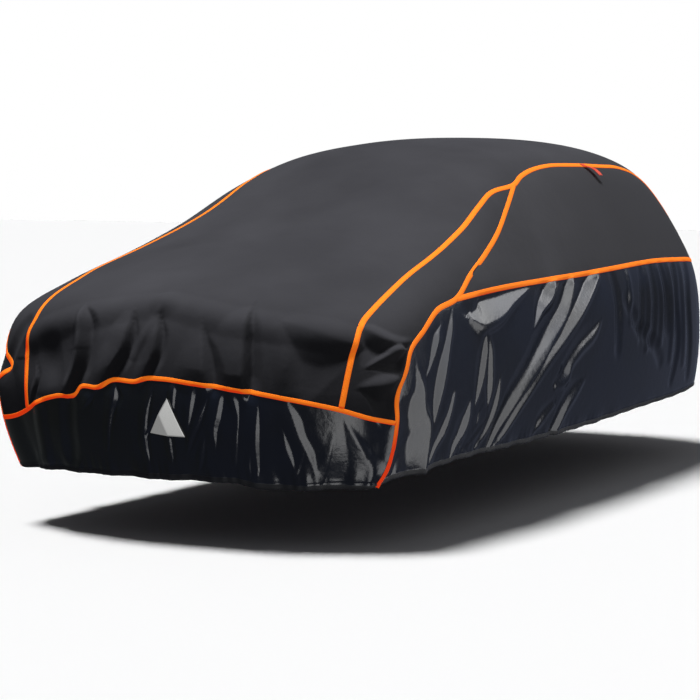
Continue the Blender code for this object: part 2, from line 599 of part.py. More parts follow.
def seam_set(mirror):
    """The seams of one side: roof, corner, belt, hem and rear corner."""
    if mirror:
        pillar = [row[3] for row in ROOF_SEAM_LEFT].index("pillar")
        roof_rows = ROOF_SEAM_RIGHT_NOSE + mirrored(ROOF_SEAM_LEFT[pillar + 2:])
        corner_rows = CORNER_SEAM_RIGHT
        start = CORNER_SEAM_RIGHT[[row[3] for row in CORNER_SEAM_RIGHT].index("belt")]
        belt_rows = (start,) + mirrored(BELT_SEAM_LEFT[1:])
        foot = CORNER_SEAM_RIGHT[0][:3] + ("front",)
        hem_rows = (foot,) + mirrored(SIDE_HEM_LEFT[2:])
        rear_rows = mirrored(REAR_CORNER_LEFT)
    else:
        roof_rows, corner_rows = ROOF_SEAM_LEFT, CORNER_SEAM_LEFT
        belt_rows, hem_rows, rear_rows = BELT_SEAM_LEFT, SIDE_HEM_LEFT, REAR_CORNER_LEFT
    return {
        "roof": seam(roof_rows, NOSE_TO_PILLAR, PILLAR_TO_CORNER, CORNER_TO_TAIL),
        "corner": seam(corner_rows, HEM_TO_NOSE, NOSE_TO_BELT, BELT_TO_PILLAR),
        "belt": seam(belt_rows, BELT_LENGTH),
        "hem": seam(hem_rows, BELT_LENGTH),
        "rear corner": seam(rear_rows, HEM_TO_NOSE + NOSE_TO_BELT)}


def build_cover():
    clear_scene()
    collection = bpy.data.collections.new("car_cover")
    bpy.context.scene.collection.children.link(collection)
    cloth = finish("top_cloth", (0.022, 0.022, 0.025), 0.78)
    coated = finish("skirt_cloth", (0.008, 0.010, 0.014), 0.30)
    tape = finish("seam_tape", (1.000, 0.180, 0.010), 0.55)
    silver = finish("reflector", (0.300, 0.310, 0.320), 0.35, 0.3)
    red = finish("webbing", (0.800, 0.050, 0.020), 0.60)

    edge = TAPE_HALF + PIECE_GAP
    left, right = seam_set(False), seam_set(True)
    front = seam(FRONT_SEAM, FENDER_WIDTH, NOSE_WIDTH, FENDER_WIDTH)
    rear = seam(REAR_BELT, REAR_WIDTH)
    front_hem = seam(FRONT_HEM, 2 * FENDER_WIDTH + NOSE_WIDTH)
    rear_hem = seam(REAR_HEM, REAR_WIDTH)
    roof_end = NOSE_TO_PILLAR + PILLAR_TO_CORNER + CORNER_TO_TAIL
    corner_top = HEM_TO_NOSE + NOSE_TO_BELT
    corner_end = corner_top + BELT_TO_PILLAR

    nose_line = front.cut(FENDER_WIDTH, FENDER_WIDTH + NOSE_WIDTH)
    tail_line = rear.cut(REAR_WIDTH, 0)
    belt = join(left["belt"], rear, right["belt"].cut(BELT_LENGTH, 0))

    cloth_panel("centre_panel", cloth, collection, (nose_line, edge), (tail_line, -edge),
                (right["roof"], -edge), (left["roof"], edge), REAR_WIDTH, roof_end)
    for name, side, sign in (("left", left, 1), ("right", right, -1)):
        roof, corner = side["roof"], side["corner"]
        first = 0 if side is right else 2 * FENDER_WIDTH + NOSE_WIDTH
        fender_foot = front.cut(first + (FENDER_WIDTH if side is right else -FENDER_WIDTH), first)
        cloth_panel(f"fender_panel_{name}", cloth, collection, (fender_foot, sign * edge), None,
                    (roof.cut(0, NOSE_TO_PILLAR), -sign * edge),
                    (corner.cut(HEM_TO_NOSE, corner_end), sign * edge),
                    FENDER_WIDTH, NOSE_TO_PILLAR)
        cloth_panel(f"window_panel_{name}", cloth, collection, (side["belt"], sign * edge),
                    (roof.cut(NOSE_TO_PILLAR, NOSE_TO_PILLAR + PILLAR_TO_CORNER), -sign * edge),
                    (corner.cut(corner_top, corner_end), -sign * edge),
                    (roof.cut(roof_end, NOSE_TO_PILLAR + PILLAR_TO_CORNER), sign * edge),
                    PILLAR_TO_CORNER, CORNER_TO_TAIL)
        cloth_panel(f"side_skirt_{name}", coated, collection, (side["hem"], 0.0),
                    (side["belt"], -sign * edge), (corner.cut(0, corner_top), -sign * edge),
                    (side["rear corner"], sign * PIECE_GAP), BELT_LENGTH, corner_top // 2)
        seam_tape(f"roof_tape_{name}", tape, collection, roof, front, belt)
        seam_tape(f"corner_tape_{name}", tape, collection, corner, None, roof)
    front_skirt = cloth_panel(
        "front_skirt", coated, collection, (front_hem, 0.0), (front, -edge),
        (right["corner"].cut(0, HEM_TO_NOSE), -edge), (left["corner"].cut(0, HEM_TO_NOSE), edge),
        2 * FENDER_WIDTH + NOSE_WIDTH, HEM_TO_NOSE)
    cloth_panel("rear_skirt", coated, collection, (rear_hem, 0.0), (rear, -edge),
                (left["rear corner"], -PIECE_GAP), (right["rear corner"], PIECE_GAP),
                REAR_WIDTH, corner_top // 2)
    seam_tape("front_tape", tape, collection, front, right["corner"], left["corner"])
    seam_tape("belt_tape", tape, collection, belt, left["corner"], right["corner"])
    reflector_patch("reflector_triangle", silver, collection, front_skirt)
    pull_tab("pull_tab", red, collection, left["roof"])


if __name__ == "__main__":
    build_cover()
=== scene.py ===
"""Looks of a fitted cover: matte top cloth, coated skirts, taped and stitched seams.

Laid out as an add-on and run as a script. X is across (+X is the left-hand side), Y is
lengthwise (the nose is at -Y) and Z is up. The tables give heights above the ground, and
in_frame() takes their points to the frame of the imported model. Everything is in metres.
"""
import math

import bmesh
import bpy
import numpy as np
from bpy.props import FloatProperty, FloatVectorProperty, IntProperty, PointerProperty
from mathutils import Euler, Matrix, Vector


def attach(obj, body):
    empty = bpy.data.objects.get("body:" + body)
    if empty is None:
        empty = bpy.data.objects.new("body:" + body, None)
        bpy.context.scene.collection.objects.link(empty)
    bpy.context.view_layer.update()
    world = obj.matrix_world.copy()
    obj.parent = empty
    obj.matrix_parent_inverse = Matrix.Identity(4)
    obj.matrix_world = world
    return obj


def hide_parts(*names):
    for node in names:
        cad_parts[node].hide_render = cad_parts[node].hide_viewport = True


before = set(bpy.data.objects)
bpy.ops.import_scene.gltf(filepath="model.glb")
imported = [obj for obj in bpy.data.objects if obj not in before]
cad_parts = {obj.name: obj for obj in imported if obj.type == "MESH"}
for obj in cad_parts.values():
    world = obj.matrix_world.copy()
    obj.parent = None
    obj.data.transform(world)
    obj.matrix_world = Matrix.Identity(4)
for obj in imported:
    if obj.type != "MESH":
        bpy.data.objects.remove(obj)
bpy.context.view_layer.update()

bl_info = {
    "name": "Fitted Car Cover",
    "version": (1, 0, 0),
    "blender": (4, 5, 0),
    "location": "View3D > Sidebar > Car Cover",
    "description": "Drapes, tapes and stitches a fitted car cover over its packed solids",
    "category": "Object",
}

# Where the cover is held: under the middle of the roof (along, height above the ground).
HOLD_ALONG = 0.70
HOLD_HEIGHT = 1.706

# ---- the shape that the cover is stretched over -------------------------------------

# along, height of the centre line
TOP_LINE = (
    (-2.60, 0.860), (-2.10, 1.010), (-1.80, 1.085), (-1.40, 1.180), (-1.05, 1.270),
    (-0.75, 1.385), (-0.40, 1.550), (-0.10, 1.645), (0.25, 1.690), (0.70, 1.710),
    (1.15, 1.700), (1.60, 1.645), (2.00, 1.560), (2.60, 1.420))
# along, drop from the centre line to the seam line
CROWN_DROP = (
    (-2.2, 0.125), (-1.6, 0.105), (-1.0, 0.085), (-0.5, 0.110), (0.0, 0.125),
    (0.8, 0.125), (1.6, 0.120), (2.4, 0.120))
# height, half width of the body
HALF_WIDTH = (
    (0.20, 0.875), (0.32, 0.905), (0.55, 0.945), (0.80, 0.955), (1.02, 0.930),
    (1.20, 0.860), (1.40, 0.765), (1.60, 0.665), (1.80, 0.560))
# along, how much narrower the plan is there
PLAN_TAPER = (
    (-2.4, -0.090), (-1.7, -0.030), (-1.2, -0.005), (-0.6, 0.000), (0.5, 0.000),
    (1.2, -0.020), (1.8, -0.075), (2.4, -0.160))
# height, foremost point of the nose
NOSE_LINE = (
    (0.20, -1.920), (0.32, -1.960), (0.50, -2.020), (0.68, -2.045), (0.85, -2.035),
    (1.05, -1.985), (1.30, -1.900))
# height, rearmost point of the tail
TAIL_LINE = (
    (0.20, 2.190), (0.40, 2.250), (0.65, 2.285), (0.90, 2.275), (1.05, 2.235),
    (1.25, 2.130), (1.45, 1.990), (1.65, 1.840))
# along, how far the cloth sits askew per metre of width
SKEW = ((-2.50, 0.10), (-1.45, 0.10), (-0.75, 0.0), (0.0, 0.0))
SEAM_REACH = 0.76        # distance of the roof seams from the middle
NOSE_BOW = 0.17          # how far the nose curves back at that distance
TAIL_BOW = 0.19
CROWN_POWER = 2.2        # how suddenly the roof falls away towards the sides
BOW_POWER = 2.4          # the same for the curve of the nose and the tail
WIDEST = 1.2             # the faces are worked out no further out than this
TAPER_LOW = 0.5          # share of the plan's taper at the ground
TAPER_RISE = 0.6         # and how much the share grows per metre of height
SLOPE_SHARE = 0.93       # mean cosine of the slopes of the top, nose and tail
SIDE_SHARE = 0.95        # the same for the sides
EDGE_SOFTNESS = 0.055    # how round the edges between the faces are

# ---- seams: across, along, height, and the name of a joint that lies there ----------

ROOF_SEAM_LEFT = (
    (0.765, -1.780, 0.587, "nose"), (0.793, -1.763, 0.750), (0.802, -1.746, 0.820),
    (0.808, -1.686, 0.930), (0.802, -1.560, 1.000), (0.770, -1.240, 1.105),
    (0.766, -0.900, 1.218), (0.750, -0.690, 1.293), (0.725, -0.485, 1.382),
    (0.705, -0.325, 1.441), (0.707, -0.090, 1.476, "pillar"), (0.685, 0.020, 1.510),
    (0.663, 0.185, 1.543), (0.652, 0.365, 1.562), (0.650, 0.690, 1.567),
    (0.642, 1.040, 1.562), (0.609, 1.390, 1.552), (0.597, 1.610, 1.520, "corner"),
    (0.619, 1.780, 1.440), (0.660, 1.860, 1.350), (0.690, 1.950, 1.230),
    (0.680, 2.070, 1.040, "tail"))
ROOF_SEAM_RIGHT_NOSE = (
    (-0.671, -1.970, 0.529, "nose"), (-0.664, -1.989, 0.646), (-0.668, -1.987, 0.757),
    (-0.650, -1.978, 0.850), (-0.632, -1.952, 0.925), (-0.625, -1.890, 0.990),
    (-0.640, -1.790, 1.040), (-0.670, -1.650, 1.066), (-0.715, -1.430, 1.105),
    (-0.690, -1.110, 1.196), (-0.630, -0.830, 1.296), (-0.585, -0.520, 1.440),
    (-0.585, -0.320, 1.510), (-0.620, -0.080, 1.540, "pillar"))
CORNER_SEAM_LEFT = (
    (0.829, -1.607, 0.262, "hem"), (0.869, -1.579, 0.350), (0.906, -1.579, 0.524, "nose"),
    (0.918, -1.576, 0.654), (0.926, -1.525, 0.736), (0.927, -1.492, 0.807),
    (0.928, -1.375, 0.889), (0.921, -1.247, 0.964), (0.923, -1.088, 1.001, "belt"),
    (0.895, -0.906, 1.090), (0.859, -0.680, 1.180), (0.826, -0.506, 1.258),
    (0.774, -0.310, 1.361), (0.707, -0.090, 1.476, "pillar"))
CORNER_SEAM_RIGHT = (
    (-0.819, -1.793, 0.264, "hem"), (-0.846, -1.830, 0.405), (-0.855, -1.850, 0.484, "nose"),
    (-0.872, -1.855, 0.600), (-0.860, -1.870, 0.645), (-0.825, -1.907, 0.674),
    (-0.790, -1.940, 0.703), (-0.812, -1.921, 0.727), (-0.835, -1.900, 0.752),
    (-0.870, -1.860, 0.790), (-0.880, -1.810, 0.850),
    (-0.905, -1.600, 0.925), (-0.918, -1.350, 0.980), (-0.923, -1.130, 1.005, "belt"),
    (-0.895, -0.906, 1.090), (-0.859, -0.680, 1.180), (-0.826, -0.506, 1.258),
    (-0.750, -0.290, 1.380), (-0.620, -0.080, 1.540, "pillar"))
BELT_SEAM_LEFT = (
    (0.923, -1.088, 1.001, "belt"), (0.928, -0.768, 1.023), (0.925, -0.210, 1.041),
    (0.923, 0.200, 1.051), (0.915, 0.635, 1.064), (0.893, 1.155, 1.076),
    (0.839, 1.740, 1.063), (0.785, 1.950, 1.048), (0.680, 2.070, 1.040, "tail"))
FRONT_SEAM = (
    (-0.855, -1.850, 0.484, "right corner"), (-0.755, -1.927, 0.498),
    (-0.671, -1.970, 0.529, "right roof"), (-0.597, -2.000, 0.566),
    (-0.463, -2.036, 0.604), (-0.357, -2.050, 0.618), (-0.335, -2.054, 0.645),
    (-0.221, -2.059, 0.657), (-0.170, -2.058, 0.684), (-0.040, -2.049, 0.688),
    (0.000, -2.046, 0.700), (0.070, -2.037, 0.701), (0.173, -2.022, 0.692),
    (0.288, -1.998, 0.680), (0.405, -1.965, 0.665), (0.578, -1.894, 0.633),
    (0.669, -1.844, 0.613), (0.765, -1.780, 0.587, "left roof"),
    (0.845, -1.702, 0.553), (0.906, -1.579, 0.524, "left corner"))
REAR_BELT = (
    (0.680, 2.070, 1.040, "left"), (0.350, 2.190, 1.035), (0.000, 2.235, 1.035),
    (-0.350, 2.190, 1.035), (-0.680, 2.070, 1.040, "right"))
FRONT_HEM = (
    (-0.819, -1.793, 0.264, "right"), (-0.650, -1.893, 0.267), (-0.300, -1.958, 0.275),
    (0.000, -1.946, 0.274), (0.180, -1.920, 0.274), (0.340, -1.880, 0.270),
    (0.420, -1.855, 0.254), (0.650, -1.750, 0.253), (0.829, -1.607, 0.262, "left"))
SIDE_HEM_LEFT = (
    (0.829, -1.607, 0.262, "front"), (0.855, -1.560, 0.280), (0.883, -1.418, 0.285),
    (0.897, -1.160, 0.301), (0.902, -0.940, 0.309), (0.903, -0.500, 0.306),
    (0.904, 0.170, 0.312), (0.905, 0.400, 0.317), (0.902, 0.990, 0.337),
    (0.867, 1.690, 0.351), (0.835, 1.870, 0.364), (0.660, 2.060, 0.370, "rear"))
REAR_HEM = (
    (0.660, 2.060, 0.370, "left"), (0.350, 2.170, 0.362), (0.000, 2.200, 0.358),
    (-0.350, 2.170, 0.362), (-0.660, 2.060, 0.370, "right"))
REAR_CORNER_LEFT = (
    (0.660, 2.060, 0.370, "hem"), (0.700, 2.100, 0.600), (0.700, 2.095, 0.850),
    (0.680, 2.070, 1.040, "belt"))

# corners of the reflective patch
REFLECTOR = ((-0.010, -2.010, 0.470), (0.150, -1.990, 0.460), (0.090, -2.030, 0.622))
# webbing tab: distance out from the seam, lift off the cloth, shift along the seam
TAB_PATH = ((-0.006, 0.0046, -0.060), (0.006, 0.0062, -0.045), (0.020, 0.0130, -0.020),
            (0.045, 0.0210, 0.005), (0.082, 0.0180, 0.030))
TAB_ALONG = 0.87         # where it is sewn, lengthwise
TAB_WIDE = 0.045

# ---- creases and folds ----------------------------------------------------------------

# A crease has one flat flank, which catches the light, and a steep back. A row gives the
# slope of the flank, the width of the back, then points down the crest: place, height and
# width of the flank. On the sides the place is along and the flank lies ahead of the crest.
SIDE_CREASES = (
    (0.62, 0.030, (0.089, 1.040, 0.036), (-0.027, 0.889, 0.058), (-0.183, 0.775, 0.067),
     (-0.379, 0.625, 0.060), (-0.583, 0.487, 0.047), (-0.684, 0.405, 0.028), (-0.752, 0.320, 0.014)),
    (0.62, 0.045, (0.375, 1.040, 0.058), (0.107, 0.858, 0.055), (-0.065, 0.754, 0.042),
     (-0.223, 0.667, 0.035), (-0.499, 0.474, 0.028), (-0.636, 0.361, 0.020), (-0.702, 0.319, 0.010)),
    (0.26, 0.040, (-1.451, 0.745, 0.008), (-1.401, 0.651, 0.062), (-1.394, 0.573, 0.100),
     (-1.346, 0.504, 0.131), (-1.336, 0.437, 0.139), (-1.332, 0.330, 0.131), (-1.329, 0.240, 0.123)),
    (0.28, 0.030, (-1.257, 0.885, 0.013), (-1.273, 0.850, 0.033), (-1.294, 0.811, 0.033),
     (-1.337, 0.745, 0.018), (-1.381, 0.696, 0.003)),
    (0.38, 0.035, (-1.140, 0.955, 0.005), (-1.159, 0.890, 0.023), (-1.193, 0.810, 0.030),
     (-1.225, 0.723, 0.046), (-1.251, 0.643, 0.048), (-1.281, 0.552, 0.028), (-1.290, 0.500, 0.006)),
    (0.38, 0.030, (-1.140, 0.605, 0.012), (-1.165, 0.517, 0.021), (-1.198, 0.448, 0.030),
     (-1.255, 0.382, 0.020), (-1.287, 0.320, 0.011)),
    (0.38, 0.030, (-0.991, 0.545, 0.015), (-0.999, 0.475, 0.041), (-1.030, 0.417, 0.039),
     (-1.074, 0.373, 0.029), (-1.097, 0.328, 0.012)),
    (0.42, 0.020, (-0.854, 0.853, 0.003), (-0.858, 0.777, 0.032), (-0.880, 0.690, 0.036),
     (-0.912, 0.600, 0.025), (-0.943, 0.535, 0.007)),
    (0.42, 0.030, (-0.850, 0.853, 0.003), (-0.815, 0.777, 0.020), (-0.809, 0.690, 0.029),
     (-0.805, 0.597, 0.029), (-0.816, 0.531, 0.011)),
    (0.42, 0.025, (-0.717, 0.645, 0.006), (-0.725, 0.553, 0.024), (-0.752, 0.474, 0.027),
     (-0.805, 0.399, 0.022), (-0.866, 0.350, 0.016)),
    (0.55, 0.050, (-0.116, 1.045, 0.060), (-0.190, 0.960, 0.060), (-0.302, 0.904, 0.038),
     (-0.377, 0.840, 0.008)),
    (0.38, 0.050, (-0.406, 1.010, 0.010), (-0.607, 0.947, 0.066), (-0.725, 0.900, 0.108),
     (-0.827, 0.880, 0.118), (-0.900, 0.872, 0.110), (-0.985, 0.905, 0.040)),
    (0.54, 0.050, (0.360, 0.815, 0.010), (0.296, 0.766, 0.030), (0.118, 0.691, 0.036),
     (0.021, 0.633, 0.033), (-0.020, 0.576, 0.048), (-0.128, 0.548, 0.018)),
    (0.52, 0.050, (0.190, 0.550, 0.010), (0.107, 0.495, 0.037), (0.027, 0.429, 0.040),
     (-0.047, 0.334, 0.034)),
    (0.50, 0.040, (-0.127, 0.460, 0.016), (-0.239, 0.391, 0.027), (-0.292, 0.350, 0.006)),
    (0.40, 0.012, (-0.856, 0.535, 0.006), (-0.898, 0.490, 0.009), (-0.899, 0.453, 0.009),
     (-0.988, 0.414, 0.003)),
    (0.40, 0.012, (-0.810, 0.519, 0.003), (-0.819, 0.451, 0.010), (-0.873, 0.413, 0.011),
     (-0.958, 0.361, 0.010), (-1.099, 0.310, 0.005)),
    (0.40, 0.012, (-0.971, 0.436, 0.003), (-1.011, 0.398, 0.010), (-1.040, 0.346, 0.006)))
# On the front the place is across, and the flank lies on the left-hand side of the crest.
FRONT_CREASES = (
    (1.08, 0.050, (-0.253, 0.630, 0.0035), (-0.281, 0.600, 0.009), (-0.316, 0.565, 0.0035)),
    (0.95, 0.060, (-0.148, 0.665, 0.008), (-0.152, 0.620, 0.018), (-0.171, 0.570, 0.012),
     (-0.197, 0.490, 0.008), (-0.222, 0.400, 0.005)),
    (0.88, 0.040, (0.023, 0.640, 0.006), (-0.004, 0.572, 0.010), (-0.024, 0.494, 0.010),
     (-0.038, 0.395, 0.010), (-0.036, 0.345, 0.0035)),
    (0.78, 0.030, (0.126, 0.665, 0.014), (0.112, 0.570, 0.010)),
    (0.80, 0.030, (0.080, 0.460, 0.010), (0.075, 0.400, 0.010), (0.072, 0.350, 0.0035)),
    (0.68, 0.050, (0.210, 0.667, 0.018), (0.193, 0.593, 0.016), (0.174, 0.509, 0.006)),
    (0.80, 0.030, (0.268, 0.625, 0.005), (0.221, 0.531, 0.010), (0.175, 0.452, 0.010),
     (0.155, 0.402, 0.0035)),
    (0.57, 0.060, (0.329, 0.660, 0.016), (0.301, 0.559, 0.021), (0.284, 0.508, 0.018),
     (0.276, 0.421, 0.005)),
    (0.80, 0.030, (0.236, 0.458, 0.0035), (0.205, 0.375, 0.010), (0.188, 0.325, 0.0035)),
    (0.50, 0.040, (0.366, 0.670, 0.025), (0.382, 0.600, 0.016), (0.387, 0.560, 0.008),
     (0.372, 0.472, 0.0075), (0.345, 0.357, 0.007)),
    (0.46, 0.060, (0.468, 0.590, 0.006), (0.453, 0.506, 0.015), (0.437, 0.409, 0.015),
     (0.431, 0.327, 0.006)),
    (0.52, 0.030, (0.414, 0.399, 0.0035), (0.399, 0.356, 0.010), (0.396, 0.307, 0.005)),
    (0.36, 0.050, (0.554, 0.499, 0.006), (0.556, 0.418, 0.020), (0.564, 0.373, 0.013),
     (0.570, 0.325, 0.005)),
    (0.30, 0.080, (0.574, 0.628, 0.011), (0.596, 0.546, 0.031), (0.610, 0.477, 0.026),
     (0.627, 0.413, 0.028), (0.643, 0.340, 0.008)),
    (0.38, 0.020, (0.614, 0.403, 0.0035), (0.591, 0.355, 0.008), (0.575, 0.318, 0.0035)),
    (0.22, 0.040, (0.840, 0.250, 0.090), (0.835, 0.308, 0.085), (0.827, 0.369, 0.068),
     (0.809, 0.439, 0.044), (0.789, 0.498, 0.022), (0.771, 0.548, 0.004)),
    (0.25, 0.030, (0.734, 0.487, 0.0035), (0.692, 0.361, 0.011), (0.661, 0.282, 0.008)))
# Folds of the nose above the front seam. Their dark flanks lie on the left-hand side of the
# crest, or below it where a path runs across.
NOSE_CREASES = (
    (1.80, 0.060, (-0.345, 0.975, 0.004), (-0.328, 0.925, 0.030), (-0.322, 0.865, 0.034),
     (-0.326, 0.800, 0.034), (-0.338, 0.745, 0.032), (-0.360, 0.690, 0.028), (-0.388, 0.640, 0.024),
     (-0.405, 0.590, 0.008)),
    (1.80, 0.110, (-0.086, 0.965, 0.004), (-0.094, 0.885, 0.024), (-0.112, 0.811, 0.026),
     (-0.150, 0.755, 0.024), (-0.192, 0.700, 0.018), (-0.230, 0.650, 0.008)),
    (2.00, 0.080, (0.040, 0.955, 0.004), (0.042, 0.872, 0.022), (0.040, 0.815, 0.022),
     (0.022, 0.761, 0.019), (-0.008, 0.710, 0.014), (-0.040, 0.660, 0.006)),
    (1.30, 0.150, (0.232, 0.935, 0.003), (0.240, 0.880, 0.012), (0.250, 0.820, 0.026),
     (0.260, 0.727, 0.038), (0.266, 0.660, 0.034), (0.268, 0.590, 0.012)),
    (2.20, 0.150, (0.408, 0.995, 0.003), (0.412, 0.920, 0.022), (0.415, 0.843, 0.027),
     (0.417, 0.776, 0.030), (0.415, 0.690, 0.030), (0.412, 0.620, 0.022)),
    (0.30, 0.120, (0.840, 0.835, 0.005), (0.790, 0.855, 0.070), (0.736, 0.876, 0.120),
     (0.682, 0.896, 0.120), (0.626, 0.916, 0.080), (0.540, 0.936, 0.005)),
    (1.80, 0.030, (-0.605, 0.735, 0.002), (-0.590, 0.674, 0.009), (-0.604, 0.625, 0.009),
     (-0.641, 0.560, 0.003)))
# Creases around the left-hand corner: the place runs around the corner, towards the front,
# and the flank lies below the crest.
CORNER_CREASES = (
    (0.70, 0.050, (-0.900, 0.848, 0.006), (-0.996, 0.849, 0.034), (-1.064, 0.868, 0.053),
     (-1.111, 0.893, 0.050), (-1.145, 0.918, 0.006)),
    (1.10, 0.030, (-0.930, 0.815, 0.005), (-0.975, 0.818, 0.045), (-1.018, 0.814, 0.050),
     (-1.085, 0.786, 0.028), (-1.143, 0.756, 0.004)),
    (0.50, 0.050, (-0.930, 0.712, 0.006), (-0.975, 0.704, 0.060), (-1.029, 0.694, 0.075),
     (-1.088, 0.686, 0.075), (-1.140, 0.680, 0.035), (-1.175, 0.673, 0.005)))
CORNER_TURN = (0.45, 0.89)      # shares of across and along in that place
# Soft folds of the nose: rise (a trough is negative), width on the right-hand side or below
# and on the left-hand side or above, then points down the fold or towards the left: across,
# height.
NOSE_FOLDS = (
    (-0.034, 0.170, 0.150, (-0.590, 0.764), (-0.520, 0.775), (-0.440, 0.790)),
    (0.008, 0.035, 0.030, (0.041, 0.988), (0.010, 0.925), (-0.023, 0.855), (-0.060, 0.793)),
    (0.012, 0.070, 0.060, (0.560, 0.900), (0.575, 0.830), (0.585, 0.670)))
# Soft folds anywhere: rise, half width, then points across, along, height.
SOFT_FOLDS = (
    (0.014, 0.080, (-0.63, -1.99, 0.84), (-0.39, -2.01, 0.93), (0.04, -1.95, 1.00)),
    (0.014, 0.080, (0.04, -1.95, 1.00), (0.35, -1.94, 0.94), (0.79, -1.75, 0.87)),
    (-0.014, 0.055, (-0.70, -1.95, 0.90), (-0.80, -1.92, 0.72)),
    (-0.012, 0.060, (-0.40, -2.03, 0.58), (-0.44, -1.98, 0.34)),
    (0.012, 0.060, (-0.58, -1.99, 0.54), (-0.60, -1.93, 0.33)),
    (0.035, 0.170, (-0.87, -1.86, 0.60), (-0.855, -1.85, 0.45), (-0.835, -1.81, 0.30)),
    (0.008, 0.085, (0.906, -1.579, 0.524), (0.860, -1.605, 0.350), (0.829, -1.607, 0.262)))
# Pleats under the belt seam, the same on both sides: rise, half width, along and height.
REAR_PLEATS = (
    (-0.012, 0.055, (0.556, 1.060), (0.590, 0.858), (0.581, 0.662)),
    (0.010, 0.040, (0.760, 1.060), (0.740, 0.800)),
    (-0.010, 0.040, (0.939, 1.060), (0.902, 0.890), (0.869, 0.691)),
    (0.010, 0.040, (1.010, 1.060), (1.000, 0.880), (0.960, 0.640)),
    (-0.011, 0.040, (1.091, 1.060), (1.090, 0.880), (1.045, 0.652)),
    (0.010, 0.045, (1.180, 1.060), (1.190, 0.860), (1.170, 0.660)),
    (-0.012, 0.045, (1.256, 1.060), (1.282, 0.869), (1.273, 0.714)),
    (0.011, 0.050, (1.370, 1.060), (1.360, 0.860), (1.350, 0.560)),
    (-0.014, 0.050, (1.473, 1.060), (1.438, 0.860), (1.473, 0.620), (1.415, 0.439)),
    (0.010, 0.050, (1.600, 1.060), (1.560, 0.860), (1.590, 0.520)),
    (-0.013, 0.055, (1.718, 1.060), (1.667, 0.847), (1.696, 0.600), (1.700, 0.450)),
    (-0.012, 0.060, (0.687, 0.902), (0.860, 0.750), (1.090, 0.649), (1.186, 0.564)))
# Pleats of the rear skirt: rise, half width, across and height.
TAIL_PLEATS = (
    (-0.014, 0.070, (0.480, 1.040), (0.440, 0.800), (0.460, 0.450)),
    (0.010, 0.060, (0.300, 1.040), (0.320, 0.700)),
    (0.014, 0.080, (0.140, 1.040), (0.120, 0.720), (0.160, 0.400)),
    (-0.012, 0.060, (-0.040, 1.040), (-0.020, 0.780), (-0.060, 0.420)),
    (0.010, 0.060, (-0.230, 1.040), (-0.260, 0.640)),
    (-0.013, 0.070, (-0.410, 1.040), (-0.380, 0.760), (-0.440, 0.430)))

SHEET = 0.002            # thickness of the cloth
CREASE_DROP = 0.6        # depth at the foot of a crease's flank, as a share of its rise
CREASE_RETURN = 1.5      # length over which the cloth comes back, in flank widths
CREASE_ROUND = 0.22      # how round the crest and the foot are, in flank widths
THIN_BACK = 0.35         # least share of a crease's back where its flank is thin
FOLD_END = 0.5           # height of a soft fold's ends, as a share of its rise
THINNEST = 1e-4          # least width of a flank
# depths inside a skirt's sewn edges, and how much of the skirt's folds shows there
SEAM_SHARE = (-0.06, -0.03, 0.0, 0.015, 0.040), (0.0, 0.04, 0.14, 0.55, 1.0)
# the same for the folds of the nose, which run out below the front seam
NOSE_SHARE = (-0.06, 0.0, 0.05), (1.0, 0.60, 0.0)

# Where each set of folds is worked out: lengthwise, across and in height.
FOLDED_BELOW = 1.2
SIDES_BEHIND = -1.75
FRONT_AHEAD_OF = -1.5
TAIL_BEHIND = 1.7
CORNER_BEYOND = 0.6
CORNER_ALONG = -1.95, -1.2
CORNER_HEIGHTS = 0.5, 1.1
CORNER_FADE = 0.05       # depth outside the side skirt over which the corner's creases rise

GATHER_RISE = 0.005      # elastic gathers along the hem
GATHER_PITCH = 0.19
GATHER_SLOWER = 0.62     # slower and quicker waves make them uneven
GATHER_QUICKER = 3.7
GATHER_SHARES = 0.5, 0.25       # heights of those two
GATHER_SHIFT = 1.1
GATHER_WANDER = 2.0      # how far the slower wave pushes the quicker one
GATHER_REACH = 0.11      # height above the hem where they have died out
GATHER_TURN = 2.5        # joins the gathers of the nose and the sides at the corners
GATHER_TAIL = 0.875      # and those of the sides and the tail
HEM_HEIGHT = 0.30
SIDEWAYS_GAIN = 2.0      # from how far the cloth faces sideways to how far it counts as a side
SIDEWAYS_FROM = 0.7
SWAY = 0.0025            # slow unevenness of the whole cloth
# its waves: turn per metre across, along and upwards, and shift
SWAY_WAVES = (3.1, 1.3, 0.0, 0.4), (0.0, 2.3, -1.7, 0.0), (1.0, 0.0, 4.3, 0.0)
PATCH_FADE = 0.012       # how far around the reflective patch the cloth lies flat
PATCH_FOLD = (0.076, 0.463), (0.047, 0.557)   # across and height of the ends of its fold
PATCH_SLOPES = 0.10, 0.16

FAR = 1e9                # further than anything here
TINY = 1e-12             # keeps a division by nothing from failing


# ---- the body under the cloth -----------------------------------------------------------

TURNING = 0.5            # share of its slope that a curve keeps where it turns back


def curve_through(rows, at):
    """A smooth curve through rows whose first column is the parameter."""
    rows = np.asarray(rows, float)
    place, value = rows[:, 0], rows[:, 1:]
    at = np.clip(at, place[0], place[-1])
    width = np.diff(place)
    slope = np.diff(value, axis=0) / width[:, None]
    tangent = np.empty_like(value)
    before, after = slope[:-1], slope[1:]
    blend = (before * width[1:, None] + after * width[:-1, None]) / (width[1:] + width[:-1])[:, None]
    tangent[1:-1] = np.where(before * after > 0, blend, blend * TURNING)
    tangent[0] = slope[0]
    tangent[-1] = slope[-1]
    cell = np.clip(np.searchsorted(place, at, side="right") - 1, 0, len(width) - 1)
    s = ((at - place[cell]) / width[cell])[..., None]
    span = width[cell][..., None]
    return ((1 + 2 * s) * (1 - s) ** 2 * value[cell] + s * (1 - s) ** 2 * span * tangent[cell]
            + s * s * (3 - 2 * s) * value[cell + 1] + s * s * (s - 1) * span * tangent[cell + 1])


